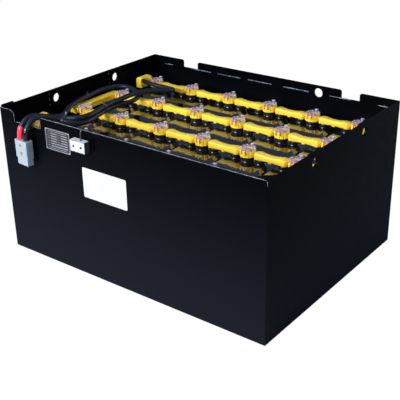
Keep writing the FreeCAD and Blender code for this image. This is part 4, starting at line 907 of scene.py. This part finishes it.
def edge_bead(name, points, radius, made, waver, grain):
    """A thin uneven bead along straight stretches, such as a painted edge highlight or a weld.

    The waver is the share of the radius that it varies by, and the grain its step along.
    """
    vertices, faces = [], []
    sides = 6
    for start, end in points:
        start, end = Vector(start) * MM, Vector(end) * MM
        along = (end - start).normalized()
        across = along.orthogonal().normalized()
        other = along.cross(across)
        count = max(3, int((end - start).length / (grain * MM)))
        rings = []
        for k in range(count + 1):
            spot = start.lerp(end, k / count)
            taper = 0.35 if k in (0, count) else 1.0
            grown = radius * MM * taper * (1 + waver * random.uniform(-1, 1))
            rings.append([spot + (across * math.cos(2 * math.pi * i / sides)
                                  + other * math.sin(2 * math.pi * i / sides)) * grown
                          for i in range(sides)])
        lofted(vertices, faces, rings)
        vertices.append(rings[0][0].lerp(rings[0][3], 0.5))
        first = len(vertices) - 2 - len(rings) * sides
        for i in range(sides):
            faces.append((first + (i + 1) % sides, first + i, len(vertices) - 1))
    return new_mesh(name, vertices, faces, made)


def steel_edges():
    """Painted highlights along the top of the front wall and down its right corner, and the welds
    inside the tray.
    """
    low, high = (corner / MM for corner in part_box("tray_front_wall"))
    top, face, left, right = WALL_TOP, low.y + EDGE_SINK, low.x, high.x
    notch_left, notch_right = left + NOTCH_START, left + NOTCH_END
    bend = NOTCH_BEND
    arc = [(notch_left - bend + bend * math.sin(angle), top - bend + bend * math.cos(angle))
           for angle in (math.radians(18 * i) for i in range(6))]
    line = [(left + 1, top - 0.2)] + [(x, z - 0.2) for x, z in arc]
    line.append((notch_left - 0.2, NOTCH_FLOOR))
    stretches = [((a[0], face, a[1]), (b[0], face, b[1])) for a, b in zip(line, line[1:])]
    stretches.append(((notch_left, face, NOTCH_FLOOR), (notch_right, face, NOTCH_FLOOR)))
    stretches.append(((notch_right + 0.2, face, top - 0.4), (right - 1, face, top - 0.4)))
    stretches.append(((right - 1.2, face, top - 1), (right - 1.2, face, top - 16)))
    edge_bead("painted_edge_highlights", stretches, EDGE_RADIUS, EDGE_HIGHLIGHT, 0.3, EDGE_GRAIN)
    # The seam and doubler welds take the lighter weld colour as a painted highlight.
    inside = REAR_Y / MM - 0.3
    seams = [((start, inside, SEAM_HEIGHT), (end, inside, SEAM_HEIGHT)) for start, end in SEAM_RUNS]
    edge_bead("seam_welds", seams, SEAM_RADIUS, WELD_HIGHLIGHT, 0.45, SEAM_GRAIN)
    wall = WALL_THICK - right + 0.4
    spots = []
    for place in LIFTING_HOLES:
        for y in (place - DOUBLER_HALF, place + DOUBLER_HALF):
            for z in STITCH_HEIGHTS:
                spots.append(((wall, y, z), (wall, y, z + STITCH_LENGTH)))
    edge_bead("doubler_welds", spots, STITCH_RADIUS, WELD_HIGHLIGHT, 0.3, STITCH_GRAIN)


def connector_windows():
    """Amber frames round the two bushes in the housing's broad face."""
    turn = Matrix.Rotation(math.radians(CONNECTOR_TURN), 3, "Z")
    axes = (turn @ Vector((1, 0, 0)), Vector((0, 0, 1)), turn @ Vector((0, -1, 0)))
    vertices, faces = [], []
    for depth in BUSH_DEPTHS:
        spot = CONNECTOR_TOP + turn @ Vector((0, -CONNECTOR_HALF, -depth))
        add_frame(vertices, faces, spot * MM, axes, WINDOW_OUTER * MM, WINDOW_INNER * MM,
                  WINDOW_PROUD * MM)
    new_mesh("connector_windows", vertices, faces, AMBER, smooth=False)


def add_frame(vertices, faces, centre, axes, outer, inner, proud):
    """A flat square frame on a face."""
    base = len(vertices)
    for half, rise in ((outer, 0), (outer, proud), (inner, proud), (inner, 0)):
        for a, b in ((-1, -1), (1, -1), (1, 1), (-1, 1)):
            vertices.append(centre + axes[0] * (a * half) + axes[1] * (b * half) + axes[2] * rise)
    for ring in range(4):
        for i in range(4):
            a, b = base + 4 * ring, base + 4 * ((ring + 1) % 4)
            faces.append((a + i, a + (i + 1) % 4, b + (i + 1) % 4, b + i))


plate_print()
indicator_face()
sheet()
steel_edges()
connector_windows()


# Stage: pale floor and soft lamps.

FLOOR_REACH = 9.0
FLOOR_WHITE = 1.04
WHITE_SHARE = 0.97
WORLD_COLOR = (0.50, 0.64, 1.0, 1)
WORLD_STRENGTH = 0.30


def stage():
    """A floor and a world that show white to the camera and light the object softly."""
    backdrop = Finish("backdrop", (0.34, 0.35, 0.37), 0.9)
    tree = backdrop.tree
    rays = backdrop.node("ShaderNodeLightPath")
    white = backdrop.node("ShaderNodeEmission", Strength=FLOOR_WHITE)
    mix = backdrop.node("ShaderNodeMixShader")
    most = backdrop.node("ShaderNodeMath", operation="MAXIMUM")
    backdrop.link(rays.outputs["Is Camera Ray"], most.inputs[0])
    backdrop.link(rays.outputs["Is Transmission Ray"], most.inputs[1])
    share = backdrop.node("ShaderNodeMath", operation="MULTIPLY")
    share.inputs[1].default_value = WHITE_SHARE
    backdrop.link(most.outputs[0], share.inputs[0])
    backdrop.link(share.outputs[0], mix.inputs[0])
    backdrop.link(backdrop.shader.outputs[0], mix.inputs[1])
    backdrop.link(white.outputs[0], mix.inputs[2])
    backdrop.link(mix.outputs[0], tree.nodes["Material Output"].inputs["Surface"])
    mesh = bpy.data.meshes.new("floor")
    reach = FLOOR_REACH
    mesh.from_pydata([(-reach, -reach, 0), (reach, -reach, 0), (reach, reach, 0),
                      (-reach, reach, 0)], [], [(0, 1, 2, 3)])
    floor = bpy.data.objects.new("floor", mesh)
    mesh.materials.append(backdrop.material)
    bpy.context.scene.collection.objects.link(floor)
    world = bpy.data.worlds.new("world")
    bpy.context.scene.world = world
    world.use_nodes = True
    nodes, links = world.node_tree.nodes, world.node_tree.links
    ground = nodes["Background"]
    ground.inputs["Color"].default_value = WORLD_COLOR
    ground.inputs["Strength"].default_value = WORLD_STRENGTH
    seen = nodes.new("ShaderNodeBackground")
    seen.inputs["Color"].default_value = (1, 1, 1, 1)
    seen.inputs["Strength"].default_value = 1.0
    path = nodes.new("ShaderNodeLightPath")
    both = nodes.new("ShaderNodeMixShader")
    links.new(path.outputs["Is Camera Ray"], both.inputs[0])
    links.new(ground.outputs[0], both.inputs[1])
    links.new(seen.outputs[0], both.inputs[2])
    links.new(both.outputs[0], nodes["World Output"].inputs["Surface"])


def lamp(name, place, aim, size, power, color=(1, 1, 1)):
    """A soft rectangular lamp, in metres and watts, turned towards a point."""
    data = bpy.data.lights.new(name, "AREA")
    data.shape = "RECTANGLE"
    data.size, data.size_y = size
    data.energy = power
    data.color = color
    piece = bpy.data.objects.new(name, data)
    bpy.context.scene.collection.objects.link(piece)
    piece.location = place
    piece.rotation_mode = "QUATERNION"
    piece.rotation_quaternion = (Vector(aim) - Vector(place)).to_track_quat("-Z", "Y")


stage()
lamp("key", (0.5, -0.3, 3.2), (0, 0, 0.4), (2.4, 2.0), 16)
lamp("front", (-0.9, -3.6, 1.9), (0, 0, 0.2), (2.4, 1.6), 240)
lamp("back", (1.2, 3.2, 1.4), (0, 0, 0.2), (2.4, 1.2), 32, (0.9, 0.94, 1))
lamp("left", (-3.4, -0.4, 1.4), (0, 0, 0.2), (2.0, 1.2), 30, (0.9, 0.94, 1))
lamp("right", (3.6, -0.4, 1.6), (0.3, 0, 0.25), (1.8, 1.2), 16, (0.95, 0.97, 1))

bpy.context.scene.view_settings.view_transform = "Standard"
